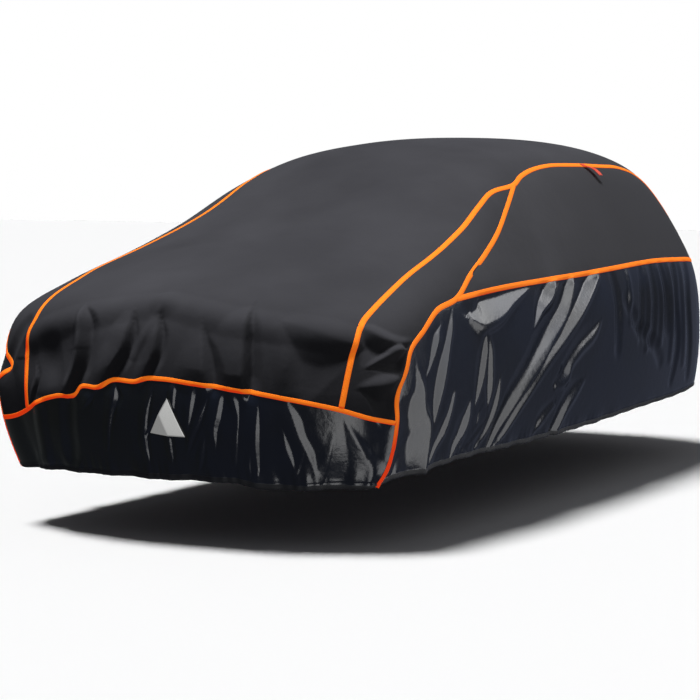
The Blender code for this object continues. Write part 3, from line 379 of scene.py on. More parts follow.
PROFILE_END = 3.0
PROFILE_STEP = 0.002
PROFILE_AT = np.arange(-PROFILE_END, PROFILE_END, PROFILE_STEP)
profile_values = {}


def profile(table, at):
    """A table's smooth curve, read from closely spaced values that are worked out once."""
    if table not in profile_values:
        profile_values[table] = curve_through(table, PROFILE_AT)[..., 0]
    return np.interp(at, PROFILE_AT, profile_values[table])


def outside(p):
    """Rough distance of points from the smooth body; negative inside."""
    across, height = np.abs(p[..., 0]), p[..., 2]
    along = p[..., 1] - profile(SKEW, p[..., 1]) * p[..., 0]
    reach = np.minimum(across, WIDEST) / SEAM_REACH
    crown = profile(TOP_LINE, along) - profile(CROWN_DROP, along) * reach ** CROWN_POWER
    taper = profile(PLAN_TAPER, along) * (TAPER_LOW + TAPER_RISE * height)
    flank = profile(HALF_WIDTH, height) + taper
    foremost = profile(NOSE_LINE, height) + NOSE_BOW * reach ** BOW_POWER
    rearmost = profile(TAIL_LINE, height) - TAIL_BOW * reach ** BOW_POWER
    faces = np.stack([(height - crown) * SLOPE_SHARE, (across - flank) * SIDE_SHARE,
                      (foremost - along) * SLOPE_SHARE, (along - rearmost) * SLOPE_SHARE], -1)
    most = faces.max(-1)
    return most + EDGE_SOFTNESS * np.log(np.exp((faces - most[..., None]) / EDGE_SOFTNESS).sum(-1))


def gradient(p, step=0.004):
    """The slope of outside() at points."""
    slope = np.empty_like(p)
    for axis in range(3):
        move = np.zeros(3)
        move[axis] = step
        slope[..., axis] = (outside(p + move) - outside(p - move)) / (2 * step)
    return slope


def unit(v):
    """Vectors brought to length 1."""
    return v / np.maximum(np.linalg.norm(v, axis=-1, keepdims=True), TINY)


def on_body(p, rounds=5):
    """Points brought onto the smooth body, by steps along its slope."""
    p = np.array(p, float)
    for _ in range(rounds):
        slope = gradient(p)
        p = p - slope * (outside(p) / (slope * slope).sum(-1))[..., None]
    return p


# ---- folds: how far the cloth stands off the body ---------------------------------------

def smooth_path(rows, per_step=4):
    """A path through given points, with all their columns smoothed alike."""
    rows = np.asarray(rows, float)
    steps = np.linalg.norm(np.diff(rows[:, :2], axis=0), axis=1)
    place = np.concatenate([[0], np.cumsum(steps)])
    at = np.interp(np.linspace(0, len(rows) - 1, per_step * (len(rows) - 1) + 1),
                   np.arange(len(rows)), place)
    return curve_through(np.column_stack([place, rows]), at)


def beside_path(a, b, path):
    """Signed distance of chart points from a path, plus on the larger-a side of a path that
    runs down, the share of the path that they lie along, and its third column there."""
    lengths = np.linalg.norm(np.diff(path[:, :2], axis=0), axis=1)
    total = lengths.sum()
    nearest = np.full(a.shape, FAR)
    signed = np.full(a.shape, FAR)
    share = np.zeros(a.shape)
    value = np.zeros(a.shape)
    walked = 0.0
    for start, end, length in zip(path[:-1], path[1:], lengths):
        run_a, run_b = (end - start)[:2] / length
        ahead = np.clip((a - start[0]) * run_a + (b - start[1]) * run_b, 0, length)
        off_a, off_b = a - start[0] - ahead * run_a, b - start[1] - ahead * run_b
        apart = np.hypot(off_a, off_b)
        nearer = apart < nearest
        nearest = np.where(nearer, apart, nearest)
        signed = np.where(nearer, np.where(off_b * run_a - off_a * run_b < 0, -apart, apart), signed)
        share = np.where(nearer, (walked + ahead) / total, share)
        if path.shape[1] > 2:
            value = np.where(nearer, start[2] + (end[2] - start[2]) * ahead / length, value)
        walked += length
    return signed, share, value


def near_path(a, b, path, reach):
    """Which chart points lie in the box around a path, widened by its reach."""
    low, high = path[:, :2].min(0) - reach, path[:, :2].max(0) + reach
    return (a > low[0]) & (a < high[0]) & (b > low[1]) & (b < high[1])


FLANK_AT = np.linspace(0, 1 + CREASE_RETURN, 251)   # distances from a crest, in flank widths


def flank_profile():
    """Height across a crease's flank: 1 at the crest, below 0 at the foot, then back to 0."""
    raw = np.where(FLANK_AT < 1, 1 - (1 + CREASE_DROP) * FLANK_AT,
                   CREASE_DROP * ((FLANK_AT - 1) / CREASE_RETURN - 1))
    width = int(CREASE_ROUND / (FLANK_AT[1] - FLANK_AT[0])) // 2
    padded = np.concatenate([raw[width:0:-1], raw, np.zeros(width)])
    sums = np.concatenate([[0], np.cumsum(padded)])
    return (sums[2 * width + 1:] - sums[:-2 * width - 1]) / (2 * width + 1)


FLANK_HEIGHT = flank_profile()


def hump(t):
    """A round hump: 1 at 0, and 0 from 1 on."""
    return np.clip(1 - t * t, 0, 1) ** 2


def crease_relief(a, b, rows, flank_side):
    """Relief of creases in a chart; the flank lies on the plus or the minus side."""
    rise = np.zeros(a.shape)
    for slope, back, *points in rows:
        path = smooth_path(points)
        widest = path[:, 2].max()
        near = near_path(a, b, path, widest * (1 + CREASE_RETURN) + back)
        if not near.any():
            continue
        signed, _, width = beside_path(a[near], b[near], path)
        width = np.maximum(width, THINNEST)
        signed = signed * flank_side
        height = slope * width / (1 + CREASE_DROP)
        behind = back * (THIN_BACK + (1 - THIN_BACK) * width / widest)
        flank = np.interp(signed / width, FLANK_AT, FLANK_HEIGHT)
        steep = FLANK_HEIGHT[0] * hump(np.minimum(-signed / behind, 1))
        rise[near] += height * np.where(signed > 0, flank, steep)
    return rise


def fold_relief(a, b, rows):
    """Relief of soft folds in a chart; their rows give one half width, or one for each side."""
    rise = np.zeros(a.shape)
    for row in rows:
        widths = [item for item in row[1:] if not isinstance(item, tuple)]
        path = smooth_path([item for item in row[1:] if isinstance(item, tuple)])
        near = near_path(a, b, path, max(widths))
        if not near.any():
            continue
        signed, share, _ = beside_path(a[near], b[near], path)
        width = np.where(signed < 0, widths[0], widths[-1])
        fade = FOLD_END + (1 - FOLD_END) * np.sin(np.pi * share)
        rise[near] += row[0] * hump(signed / width) * fade
    return rise


def line_relief(p, rows):
    """Relief of soft folds whose points are given in space."""
    rise = np.zeros(p.shape[:-1])
    for height, width, *points in rows:
        path = np.asarray(points, float)
        near = ((p > path.min(0) - width) & (p < path.max(0) + width)).all(-1)
        if near.any():
            rise[near] += height * hump(distance_to(p[near], path) / width)
    return rise


def distance_to(p, path):
    """Distance of points in space from a path."""
    best = np.full(p.shape[:-1], FAR)
    for start, end in zip(path[:-1], path[1:]):
        run = end - start
        ahead = np.clip(((p - start) @ run) / max(run @ run, TINY), 0, 1)
        best = np.minimum(best, np.linalg.norm(p - (start + ahead[..., None] * run), axis=-1))
    return best


# ---- seams --------------------------------------------------------------------------------

class Seam:
    """A seam on the smooth body: closely spaced points, and the places of its joints."""

    def __init__(self, rows, per_row=25):
        points = np.array([row[:3] for row in rows])
        steps = np.linalg.norm(np.diff(points, axis=0), axis=1)
        place = np.concatenate([[0], np.cumsum(steps)])
        at = np.interp(np.linspace(0, len(rows) - 1, per_row * (len(rows) - 1) + 1),
                       np.arange(len(rows)), place)
        self.points = on_body(curve_through(np.column_stack([place, points]), at))
        steps = np.linalg.norm(np.diff(self.points, axis=0), axis=1)
        self.length = np.concatenate([[0], np.cumsum(steps)])
        self.joints = {row[3]: self.length[k * per_row] for k, row in enumerate(rows) if row[3:]}

    def at(self, length):
        """Points at lengths along the seam."""
        return on_body(np.stack([np.interp(length, self.length, self.points[:, axis])
                                 for axis in range(3)], -1), 2)

    def part(self, first, last, share):
        """Points between two joints, at shares of the length between them."""
        start, end = self.joints[first], self.joints[last]
        return self.at(start + (end - start) * share)

    def outline(self, first, last, step=0.04):
        """Points between two joints, about a step apart."""
        start, end = self.joints[first], self.joints[last]
        count = max(2, int(abs(end - start) / step))
        return self.at(np.linspace(start, end, count + 1))


def mirrored(rows):
    """A seam's rows for the other side."""
    return tuple((-row[0],) + row[1:] for row in rows)


def joint_row(rows, joint):
    """The number of the row that has a joint's name."""
    return next(k for k, row in enumerate(rows) if joint in row[3:])


def side_seams(mirror):
    """The seams of one side: roof, corner, belt, hem and rear corner."""
    if not mirror:
        tables = (ROOF_SEAM_LEFT, CORNER_SEAM_LEFT, BELT_SEAM_LEFT, SIDE_HEM_LEFT, REAR_CORNER_LEFT)
    else:
        pillar = joint_row(ROOF_SEAM_LEFT, "pillar")
        start = CORNER_SEAM_RIGHT[joint_row(CORNER_SEAM_RIGHT, "belt")]
        foot = CORNER_SEAM_RIGHT[0][:3] + ("front",)
        tables = (ROOF_SEAM_RIGHT_NOSE + mirrored(ROOF_SEAM_LEFT[pillar + 2:]), CORNER_SEAM_RIGHT,
                  (start,) + mirrored(BELT_SEAM_LEFT[1:]), (foot,) + mirrored(SIDE_HEM_LEFT[2:]),
                  mirrored(REAR_CORNER_LEFT))
    return dict(zip(("roof", "corner", "belt", "hem", "rear corner"), map(Seam, tables)))


seams = {"left": side_seams(False), "right": side_seams(True), "front": Seam(FRONT_SEAM),
         "rear": Seam(REAR_BELT), "front hem": Seam(FRONT_HEM), "rear hem": Seam(REAR_HEM)}
# the sewn edges of each skirt, as paths
skirt_edges = {
    "side": [np.concatenate([seams[side]["corner"].outline("hem", "belt"),
                             seams[side]["belt"].outline("belt", "tail")])
             for side in ("left", "right")],
    "front": [np.concatenate([seams["right"]["corner"].outline("hem", "nose"),
                              seams["front"].outline("right corner", "left corner"),
                              seams["left"]["corner"].outline("nose", "hem")])],
    "tail": [np.concatenate([seams["left"]["rear corner"].outline("hem", "belt"),
                             seams["rear"].outline("left", "right"),
                             seams["right"]["rear corner"].outline("belt", "hem")])]}


def depth_in(p, skirt, inside):
    """Distance of points inside a skirt from its sewn edges; negative outside the skirt."""
    apart = np.min([distance_to(p, edge) for edge in skirt_edges[skirt]], axis=0)
    return apart if inside else -apart


def patch_share(x, z):
    """1 on the reflective patch, which holds the cloth flat, and 0 a little way off it."""
    corners = np.array(REFLECTOR)[:, [0, 2]]
    beyond = np.full(x.shape, -FAR)
    for start, end in zip(corners, np.roll(corners, -1, axis=0)):
        run = (end - start) / np.linalg.norm(end - start)
        beyond = np.maximum(beyond, (x - start[0]) * run[1] - (z - start[1]) * run[0])
    return np.clip(1 - beyond / PATCH_FADE, 0, 1)


def patch_ridge(x, z):
    """The patch is folded once along a line, and both halves fall away from it."""
    (x0, z0), (x1, z1) = PATCH_FOLD
    run = math.hypot(x1 - x0, z1 - z0)
    apart = ((x - x0) * (z1 - z0) - (z - z0) * (x1 - x0)) / run
    return -np.where(apart > 0, PATCH_SLOPES[0], PATCH_SLOPES[1]) * np.abs(apart)


def between(values, limits):
    """Which values lie between two limits."""
    return (values > limits[0]) & (values < limits[1])


def relief(p, zone):
    """How far the cloth stands off the smooth body at points of the named skirt or the top."""
    shape = p.shape[:-1]
    p = p.reshape(-1, 3)
    rise = line_relief(p, SOFT_FOLDS)
    x, y, z = p.T
    low = z < FOLDED_BELOW
    near = low & (y > SIDES_BEHIND)
    if near.any():
        share = np.interp(depth_in(p[near], "side", zone == "side"), *SEAM_SHARE)
        rise[near] += share * (crease_relief(y[near], z[near], SIDE_CREASES, -1)
                               + fold_relief(y[near], z[near], REAR_PLEATS))
    near = low & (y < FRONT_AHEAD_OF)
    if near.any():
        depth = depth_in(p[near], "front", zone == "front")
        stiff = patch_share(x[near], z[near])
        rise[near] += (np.interp(depth, *SEAM_SHARE) * (1 - stiff)
                       * crease_relief(x[near], z[near], FRONT_CREASES, 1))
        rise[near] += stiff * patch_ridge(x[near], z[near])
        rise[near] += (np.interp(depth, *NOSE_SHARE)
                       * (fold_relief(x[near], z[near], NOSE_FOLDS)
                          + crease_relief(x[near], z[near], NOSE_CREASES, 1)))
    near = (x > CORNER_BEYOND) & between(y, CORNER_ALONG) & between(z, CORNER_HEIGHTS)
    if near.any():
        place = CORNER_TURN[0] * x[near] + CORNER_TURN[1] * y[near]
        share = np.clip(-depth_in(p[near], "side", zone == "side") / CORNER_FADE, 0, 1)
        rise[near] += share * crease_relief(place, z[near], CORNER_CREASES, 1)
    near = low & (y > TAIL_BEHIND)
    if near.any():
        share = np.interp(depth_in(p[near], "tail", zone == "tail"), *SEAM_SHARE)
        rise[near] += share * fold_relief(x[near], z[near], TAIL_PLEATS)
    rise += gather_relief(p)
    sway = SWAY
    for across, along, upward, shift in SWAY_WAVES:
        sway = sway * np.sin(across * x + along * y + upward * z + shift)
    return (rise + sway).reshape(shape)


def gather_relief(p):
    """Relief of the gathers: on the sides their waves follow the length of the cover, and on
    the nose and the tail the distance from the middle."""
    x, y, z = p.T
    sideways = np.abs(unit(gradient(p))[..., 0])
    sideways = np.clip(sideways * SIDEWAYS_GAIN - SIDEWAYS_FROM, 0, 1)
    beside = GATHER_TURN + np.where(y < 0, y, -GATHER_TAIL * y)
    run = beside * sideways + np.abs(x) * (1 - sideways)
    fade = np.clip(1 - (z - HEM_HEIGHT) / GATHER_REACH, 0, 1) ** 2
    turn = 2 * np.pi / GATHER_PITCH
    slower, quicker = turn * GATHER_SLOWER * run, turn * GATHER_QUICKER * run
    wave = (np.sin(turn * run) + GATHER_SHARES[0] * np.sin(slower + GATHER_SHIFT)
            + GATHER_SHARES[1] * np.sin(quicker + GATHER_WANDER * np.sin(slower)))
    return GATHER_RISE * fade * wave


# ---- meshes ---------------------------------------------------------------------------------

SPREAD = "cloth_metres"  # UV layer of places in the flat cloth, in metres


def in_frame(points):
    """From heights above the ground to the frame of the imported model."""
    return np.asarray(points) - np.array([0.0, HOLD_ALONG, HOLD_HEIGHT])


def added(name, data):
    """A new object in the scene's collection."""
    item = bpy.data.objects.new(name, data)
    bpy.context.scene.collection.objects.link(item)
    return item


def mesh_piece(name, points, faces, material, spread):
    """A smooth piece of points and faces; the spread is where they lie in the flat cloth."""
    mesh = bpy.data.meshes.new(name)
    mesh.from_pydata(in_frame(points).tolist(), [], faces)
    mesh.materials.append(material)
    layer = mesh.uv_layers.new(name=SPREAD)
    corners = np.empty(len(mesh.loops), dtype=np.int32)
    mesh.loops.foreach_get("vertex_index", corners)
    layer.data.foreach_set("uv", np.asarray(spread)[corners].ravel())
    mesh.shade_smooth()
    return added(name, mesh)


def grid_faces(columns, rows, flip=False):
    """Faces of a grid of columns x rows cells; points run along the columns first."""
    i, j = np.meshgrid(np.arange(columns), np.arange(rows))
    first = (j * (columns + 1) + i).ravel()
    loop = [first, first + 1, first + columns + 2, first + columns + 1]
    if flip:
        loop.reverse()
    return np.stack(loop, -1).tolist()


def graded(length, spans):
    """Shares of a length for the lines of a grid. A span is the place where it starts and the
    cell that it wants there; cells change evenly from one span's start to the next."""
    starts, cells = zip(*spans)
    at = [0.0]
    while at[-1] < length:
        at.append(at[-1] + float(np.interp(at[-1], starts, cells)))
    return np.array(at) / at[-1]


def patch_grid(low, high, near, far, u, v):
    """Points between four edges, brought onto the body; u and v are the shares of its lines."""
    u, v = u[None, :, None], v[:, None, None]
    grid = ((1 - v) * low[None] + v * high[None] + (1 - u) * near[:, None] + u * far[:, None]
            - (1 - u) * (1 - v) * low[0] - u * (1 - v) * low[-1]
            - (1 - u) * v * high[0] - u * v * high[-1])
    return on_body(grid, 6)


def metres(cloth):
    """Lengths across and up a grid of cloth, measured from its first corner."""
    across = np.linalg.norm(np.diff(cloth, axis=1), axis=-1).mean(0)
    upward = np.linalg.norm(np.diff(cloth, axis=0), axis=-1).mean(1)
    u = np.concatenate([[0], np.cumsum(across)])
    v = np.concatenate([[0], np.cumsum(upward)])
    return np.stack(np.meshgrid(u, v), -1)


HEM_BULGE = 0.0025       # the elastic in the hem swells it
HEM_GROOVE = 0.0015      # the sewn line above it draws it in
HEM_DEEP = 0.022
HEM_BULGE_HALF = 0.6     # half width of the swelling, as a share of the hem's depth
HEM_GROOVE_UP = 0.003    # middle of the groove above the hem
HEM_GROOVE_HALF = 0.006
HEM_TURN = ((-0.014, 0.020), (-0.012, 0.010), (-0.008, 0.002))   # inward, up: the turned hem


def cloth_piece(name, zone, material, edges, u, v, hemmed=False):
    """A sheet of cloth on its part of the body, with its folds, its hem and its thickness."""
    low, high, near, far = edges
    bare = patch_grid(low, high, near, far, u, v)
    normal = unit(gradient(bare))
    rise = relief(bare, zone)
    if hemmed:
        up = bare[..., 2] - bare[:1, :, 2]
        rise += HEM_BULGE * hump((up - HEM_DEEP / 2) / (HEM_DEEP * HEM_BULGE_HALF))
        rise -= HEM_GROOVE * hump((up - HEM_DEEP - HEM_GROOVE_UP) / HEM_GROOVE_HALF)
    cloth = bare + normal * rise[..., None]
    if hemmed:
        upward = unit(cloth[2] - cloth[0])
        turned = [cloth[0] + normal[0] * inward + upward * lift for inward, lift in HEM_TURN]
        cloth = np.concatenate([np.array(turned), cloth])
    columns, rows = cloth.shape[1] - 1, cloth.shape[0] - 1
    middle = rows // 2, columns // 2
    across = cloth[middle[0], middle[1] + 1] - cloth[middle]
    upward = cloth[middle[0] + 1, middle[1]] - cloth[middle]
    flip = np.dot(np.cross(across, upward), normal[normal.shape[0] // 2, columns // 2]) < 0
    piece = mesh_piece(name, cloth.reshape(-1, 3), grid_faces(columns, rows, flip), material,
                       metres(cloth).reshape(-1, 2))
    wall = piece.modifiers.new("Cloth", "SOLIDIFY")
    wall.thickness = SHEET
    wall.offset = -1.0   # all of it inwards
    wall.use_even_offset = False
    return piece


# one half of a tape's section, from its middle outwards: offset and height
TAPE_HALF = ((0.0030, 0.0029), (0.0075, 0.0021), (0.0112, 0.0016), (0.0120, 0.0004),
             (0.0105, -0.0020))
TAPE_SECTION = (*((-offset, height) for offset, height in TAPE_HALF[::-1]), (0.0, 0.0032), *TAPE_HALF)
TAPE_STEP = 0.010        # from station to station
TAPE_BUTT = 0.009        # where a tape ends under another, from that one's middle


def on_cloth(under, zone, lift):
    """Points of the body raised onto the cloth, and lifted off it."""
    rise = relief(under, zone) + lift
    return under + unit(gradient(under)) * rise[:, None]


def tape_points(stations, zones, lift, width, section=TAPE_SECTION):
    """Points across a tape at each station; zones name the cloth on its minus and plus side."""
    normal = unit(gradient(stations))
    side = unit(np.cross(normal, np.gradient(stations, axis=0)))
    rows = [on_cloth(on_body(stations + side * offset * width, 3), zones[0 if offset < 0 else 1],
                     height + lift) for offset, height in section]
    return np.stack(rows, 1)


def tape_piece(name, material, stations, zones, lift, width):
    """A closed strip of tape along its stations."""
    points = tape_points(stations, zones, lift, width)
    length, around = points.shape[:2]
    faces = []
    for ring in range(length - 1):
        for k in range(around):
            a, b = ring * around + k, ring * around + (k + 1) % around
            faces.append([a, b, b + around, a + around])
    faces.append(list(range(around))[::-1])
    faces.append([(length - 1) * around + k for k in range(around)])
    run = np.concatenate([[0], np.cumsum(np.linalg.norm(np.diff(stations, axis=0), axis=1))])
    offsets = np.array([offset for offset, _ in TAPE_SECTION])
    spread = np.stack(np.meshgrid(offsets, run), -1).reshape(-1, 2)
    return recalculated(mesh_piece(name, points.reshape(-1, 3), faces, material, spread))


def recalculated(piece):
    """The piece with all its faces turned outwards."""
    made = bmesh.new()
    made.from_mesh(piece.data)
    bmesh.ops.recalc_face_normals(made, faces=made.faces)
    made.to_mesh(piece.data)
    made.free()
    return piece


def shell(name, points, faces, thickness, material):
    """A closed sheet around a surface of points, half its thickness to either side."""
    made = bmesh.new()
    corners = [made.verts.new(point) for point in in_frame(points).tolist()]
    for face in faces:
        made.faces.new([corners[k] for k in face])
    bmesh.ops.recalc_face_normals(made, faces=made.faces)
    bmesh.ops.solidify(made, geom=made.faces[:], thickness=thickness)
    bmesh.ops.recalc_face_normals(made, faces=made.faces)
    mesh = bpy.data.meshes.new(name)
    made.to_mesh(mesh)
    made.free()
    mesh.materials.append(material)
    mesh.shade_smooth()
    return added(name, mesh)


PATCH_CELLS = 28         # along each edge of the reflective patch
PATCH_LIFT = 0.0012      # its back over the cloth
PATCH_SHEET = 0.0010


def reflector_piece(name, material):
    """The reflective triangle, sewn flat on the front skirt and folded once."""
    corners = np.array(REFLECTOR)
    index, points = {}, []
    for i in range(PATCH_CELLS + 1):
        for j in range(PATCH_CELLS + 1 - i):
            index[i, j] = len(points)
            points.append(corners[0] + (corners[1] - corners[0]) * i / PATCH_CELLS
                          + (corners[2] - corners[0]) * j / PATCH_CELLS)
    faces = []
    for i in range(PATCH_CELLS):
        for j in range(PATCH_CELLS - i):
            faces.append((index[i, j], index[i + 1, j], index[i, j + 1]))
            if i + j < PATCH_CELLS - 1:
                faces.append((index[i + 1, j], index[i + 1, j + 1], index[i, j + 1]))
    under = on_body(np.array(points))
    rise = relief(under, "front") + PATCH_LIFT + PATCH_SHEET / 2
    points = under + unit(gradient(under)) * rise[:, None]
    return shell(name, points, faces, PATCH_SHEET, material)


TAB_SHEET = 0.0022       # thickness of the webbing tab
TAB_LINES = 7            # lines of points across it
TAB_STEPS = 5            # and between two points of its path
TAB_AHEAD = 0.01         # how far ahead on the seam its direction is read


def pull_tab_piece(name, material):
    """A strip of webbing sewn over the roof seam, its free end hanging off the window panel."""
    roof = seams["left"]["roof"]
    behind = roof.length > roof.joints["pillar"]
    middle = np.interp(TAB_ALONG, roof.points[behind, 1], roof.length[behind])
    start = roof.at(np.array([middle, middle + TAB_AHEAD]))
    along = unit(start[1] - start[0])
    normal = unit(gradient(start[:1]))[0]
    side = np.cross(along, normal)
    side = side * np.sign(side[0])
    path = smooth_path(TAB_PATH, TAB_STEPS)
    halves = np.linspace(-TAB_WIDE / 2, TAB_WIDE / 2, TAB_LINES)
    points = np.array([start[0] + side * out + normal * lift + along * (shift + half)
                       for out, lift, shift in path for half in halves])
    return shell(name, points, grid_faces(TAB_LINES - 1, len(path) - 1), TAB_SHEET, material)


# ---- nodes and stitches -----------------------------------------------------------------------

def fill(tree, node, inputs):
    """Set a node's inputs to values, or link them to other nodes' outputs."""
    for key, value in inputs.items():
        if isinstance(value, bpy.types.NodeSocket):
            tree.links.new(value, node.inputs[key])
        else:
            node.inputs[key].default_value = value


def tree_node(tree, kind, inputs, **settings):
    """A new node with its settings and inputs."""
    node = tree.nodes.new(kind)
    for key, value in settings.items():
        setattr(node, key, value)
    fill(tree, node, inputs)
    return node


def mixed(tree, share, first, second):
    """The output of a node that mixes two colours."""
    return tree_node(tree, "ShaderNodeMix", {0: share, 6: first, 7: second}, data_type="RGBA").outputs[2]


STITCH_ROWS = (-0.0090, 0.0020), (0.0090, 0.0020)   # beside a tape's middle, and lift
STITCH_VARIES = 0.88, 1.10
HEM_STITCHES = 0.025     # above the turned edge
STITCH_INPUTS = {"Pitch": "Float", "Length": "Float", "Thickness": "Float", "Seed": "Int",
                 "Thread": "Material"}


def stitch_tree():
    """Geometry nodes that set a row of stitches along every line of a mesh."""
    tree = bpy.data.node_groups.new("stitches", "GeometryNodeTree")
    tree.interface.new_socket("Geometry", in_out="INPUT", socket_type="NodeSocketGeometry")
    for name, kind in STITCH_INPUTS.items():
        tree.interface.new_socket(name, in_out="INPUT", socket_type=f"NodeSocket{kind}")
    tree.interface.new_socket("Geometry", in_out="OUTPUT", socket_type="NodeSocketGeometry")
    given = tree.nodes.new("NodeGroupInput").outputs
    line = tree_node(tree, "GeometryNodeMeshToCurve", {"Mesh": given["Geometry"]})
    places = tree_node(tree, "GeometryNodeCurveToPoints",
                       {"Curve": line.outputs["Curve"], "Length": given["Pitch"]}, mode="LENGTH")
    low, high = STITCH_VARIES
    varied = tree_node(tree, "FunctionNodeRandomValue", {2: low, 3: high, "Seed": given["Seed"]})
    size = tree_node(tree, "ShaderNodeCombineXYZ",
                     {"X": given["Thickness"], "Y": given["Thickness"], "Z": given["Length"]})
    scaled = tree_node(tree, "ShaderNodeVectorMath",
                       {0: size.outputs[0], "Scale": varied.outputs[1]}, operation="SCALE")
    ball = tree_node(tree, "GeometryNodeMeshIcoSphere", {"Radius": 0.5, "Subdivisions": 1})
    set_down = tree_node(tree, "GeometryNodeInstanceOnPoints",
                         {"Points": places.outputs["Points"], "Instance": ball.outputs["Mesh"],
                          "Rotation": places.outputs["Rotation"], "Scale": scaled.outputs[0]})
    real = tree_node(tree, "GeometryNodeRealizeInstances", {"Geometry": set_down.outputs[0]})
    made = tree_node(tree, "GeometryNodeSetMaterial",
                     {"Geometry": real.outputs[0], "Material": given["Thread"]})
    tree.links.new(made.outputs[0], tree.nodes.new("NodeGroupOutput").inputs[0])
    return tree


def stitches_piece(name, lines, tree, values):
    """Stitches along lines of points, as a plain mesh."""
    points, edges = [], []
    for line in lines:
        edges += [(k, k + 1) for k in range(len(points), len(points) + len(line) - 1)]
        points += in_frame(line).tolist()
    mesh = bpy.data.meshes.new(f"{name}_lines")
    mesh.from_pydata(points, edges, [])
    path = added(f"{name}_lines", mesh)
    modifier = path.modifiers.new("Stitches", "NODES")
    modifier.node_group = tree
    for socket in tree.interface.items_tree:
        if socket.in_out == "INPUT" and socket.name in values:
            modifier[socket.identifier] = values[socket.name]
    seen = path.evaluated_get(bpy.context.evaluated_depsgraph_get())
    sewn = bpy.data.meshes.new_from_object(seen)
    bpy.data.objects.remove(path)
    sewn.shade_smooth()
    return added(name, sewn)


# ---- materials ------------------------------------------------------------------------------

class Value:
    """An output in a material's node tree, with arithmetic that adds Math nodes."""

    def __init__(self, finish, socket):
        self.finish = finish
        self.socket = socket

    def _math(self, operation, first, second):
        return self.finish.node("ShaderNodeMath", {0: first, 1: second}, operation=operation)

    def __add__(self, other):
        return self._math("ADD", self, other)

    def __radd__(self, other):
        return self._math("ADD", other, self)

    def __sub__(self, other):
        return self._math("SUBTRACT", self, other)

    def __rsub__(self, other):
        return self._math("SUBTRACT", other, self)

    def __mul__(self, other):
        return self._math("MULTIPLY", self, other)

    def __rmul__(self, other):
        return self._math("MULTIPLY", other, self)


def plain(inputs):
    """Inputs with the sockets of their values."""
    return {key: value.socket if isinstance(value, Value) else value for key, value in inputs.items()}


class Finish:
    """A material's node tree, with one method that makes any node."""

    def __init__(self, name):
        self.material = bpy.data.materials.new(name)
        self.material.use_nodes = True
        self.tree = self.material.node_tree
        self.shader = self.tree.nodes["Principled BSDF"]
        self.place = self.node("ShaderNodeTexCoord", output="Object")

    def node(self, kind, inputs=None, output=0, **settings):
        """The output of a new node, as a value."""
        made = tree_node(self.tree, kind, plain(inputs or {}), **settings)
        return Value(self, made.outputs[output])

    def spread(self):
        """Places in the flat cloth."""
        return self.node("ShaderNodeUVMap", uv_map=SPREAD)

    def part(self, vector, axis):
        """One of a vector's parts."""
        return self.node("ShaderNodeSeparateXYZ", {"Vector": vector}, axis)

    def facing(self, direction):
        """How far the surface faces a direction: the cosine of the angle between them."""
        normal = self.node("ShaderNodeNewGeometry", output="Normal")
        return self.node("ShaderNodeVectorMath", {0: normal, 1: direction}, "Value",
                         operation="DOT_PRODUCT")

    def mix(self, share, first, second):
        """A colour between two colours."""
        inputs = plain({"share": share, "first": first, "second": second})
        return Value(self, mixed(self.tree, **inputs))

    def ramp(self, value, low, high, start=0.0, end=1.0):
        """The value mapped from low..high to start..end, and held there beyond."""
        return self.node("ShaderNodeMapRange", {"Value": value, "From Min": low, "From Max": high,
                                                "To Min": start, "To Max": end}, clamp=True)

    def noise(self, place, scale, detail=2.0, roughness=0.5):
        """Cloudy values around 0.5."""
        return self.node("ShaderNodeTexNoise", {"Vector": place, "Scale": scale,
                                                "Detail": detail, "Roughness": roughness})

    def wave(self, place, scale, direction, distortion=0.0):
        """Even bands that follow one another in a direction."""
        return self.node("ShaderNodeTexWave", {"Vector": place, "Scale": scale,
                                               "Distortion": distortion}, bands_direction=direction)

    def bump(self, height, depth, under=None):
        """A surface normal that makes a height stand out by a depth, on top of another normal."""
        inputs = {"Height": height, "Distance": depth, "Strength": 1.0}
        if under is not None:
            inputs["Normal"] = under
        return self.node("ShaderNodeBump", inputs)

    def finish(self, **inputs):
        """The material, with its shader's inputs filled in."""
        inputs = {key.replace("_", " "): value for key, value in plain(inputs).items()}
        fill(self.tree, self.shader, inputs)
        return self.material


def colour(values, share=1.0):
    """A colour with its alpha; a share below 1 darkens it."""
    return (*(value * share for value in values), 1.0)


PAINTED_SHADE_ALONG = -0.75, 0.25      # where painted shade darkens the window panels, towards the rear
PAINTED_SHADE_WANDERS = 0.5      # how unevenly that painted shade runs
DYE_VARIES = 0.86, 1.14
CLOUD_SHARE = 0.7        # how much of that is in large clouds; the rest is in the grain
THREADS = 160.0          # scale of the weave's waves


def top_cloth_finish(name, tint, painted_shade_share=1.0):
    """Matte woven cloth: an even grain, a slightly uneven dye and fine creasing; with a painted shade
    share below 1, painted shade darkens it towards the rear.
    """
    finish = Finish(name)
    spread = finish.spread()
    cloud = finish.noise(finish.place, scale=2.2, detail=3.0)
    grain = finish.noise(finish.place, scale=420.0)
    warp, weft = (finish.wave(spread, THREADS, direction) for direction in ("X", "Y"))
    shade = finish.ramp(cloud * CLOUD_SHARE + grain * (1 - CLOUD_SHARE), low=0.35, high=0.65)
    base = finish.mix(shade, *(colour(tint, share) for share in DYE_VARIES))
    # painted shade: darkens the window panels towards their rear ends
    if painted_shade_share < 1.0:
        along = finish.part(finish.place, 1) + (cloud - 0.5) * PAINTED_SHADE_WANDERS
        painted_shade = finish.ramp(along, *PAINTED_SHADE_ALONG)
        base = finish.mix(painted_shade, base, colour(tint, painted_shade_share))
    rumple = finish.noise(finish.place, scale=26.0, detail=4.0, roughness=0.55)
    soft = finish.bump(rumple, depth=0.0012)
    fine = finish.bump(warp * weft + grain * 0.5, depth=0.00012, under=soft)
    rough = finish.ramp(grain, 0.3, 0.7, start=0.84, end=0.94)
    return finish.finish(Base_Color=base, Roughness=rough, Normal=fine, Specular_IOR_Level=0.10)


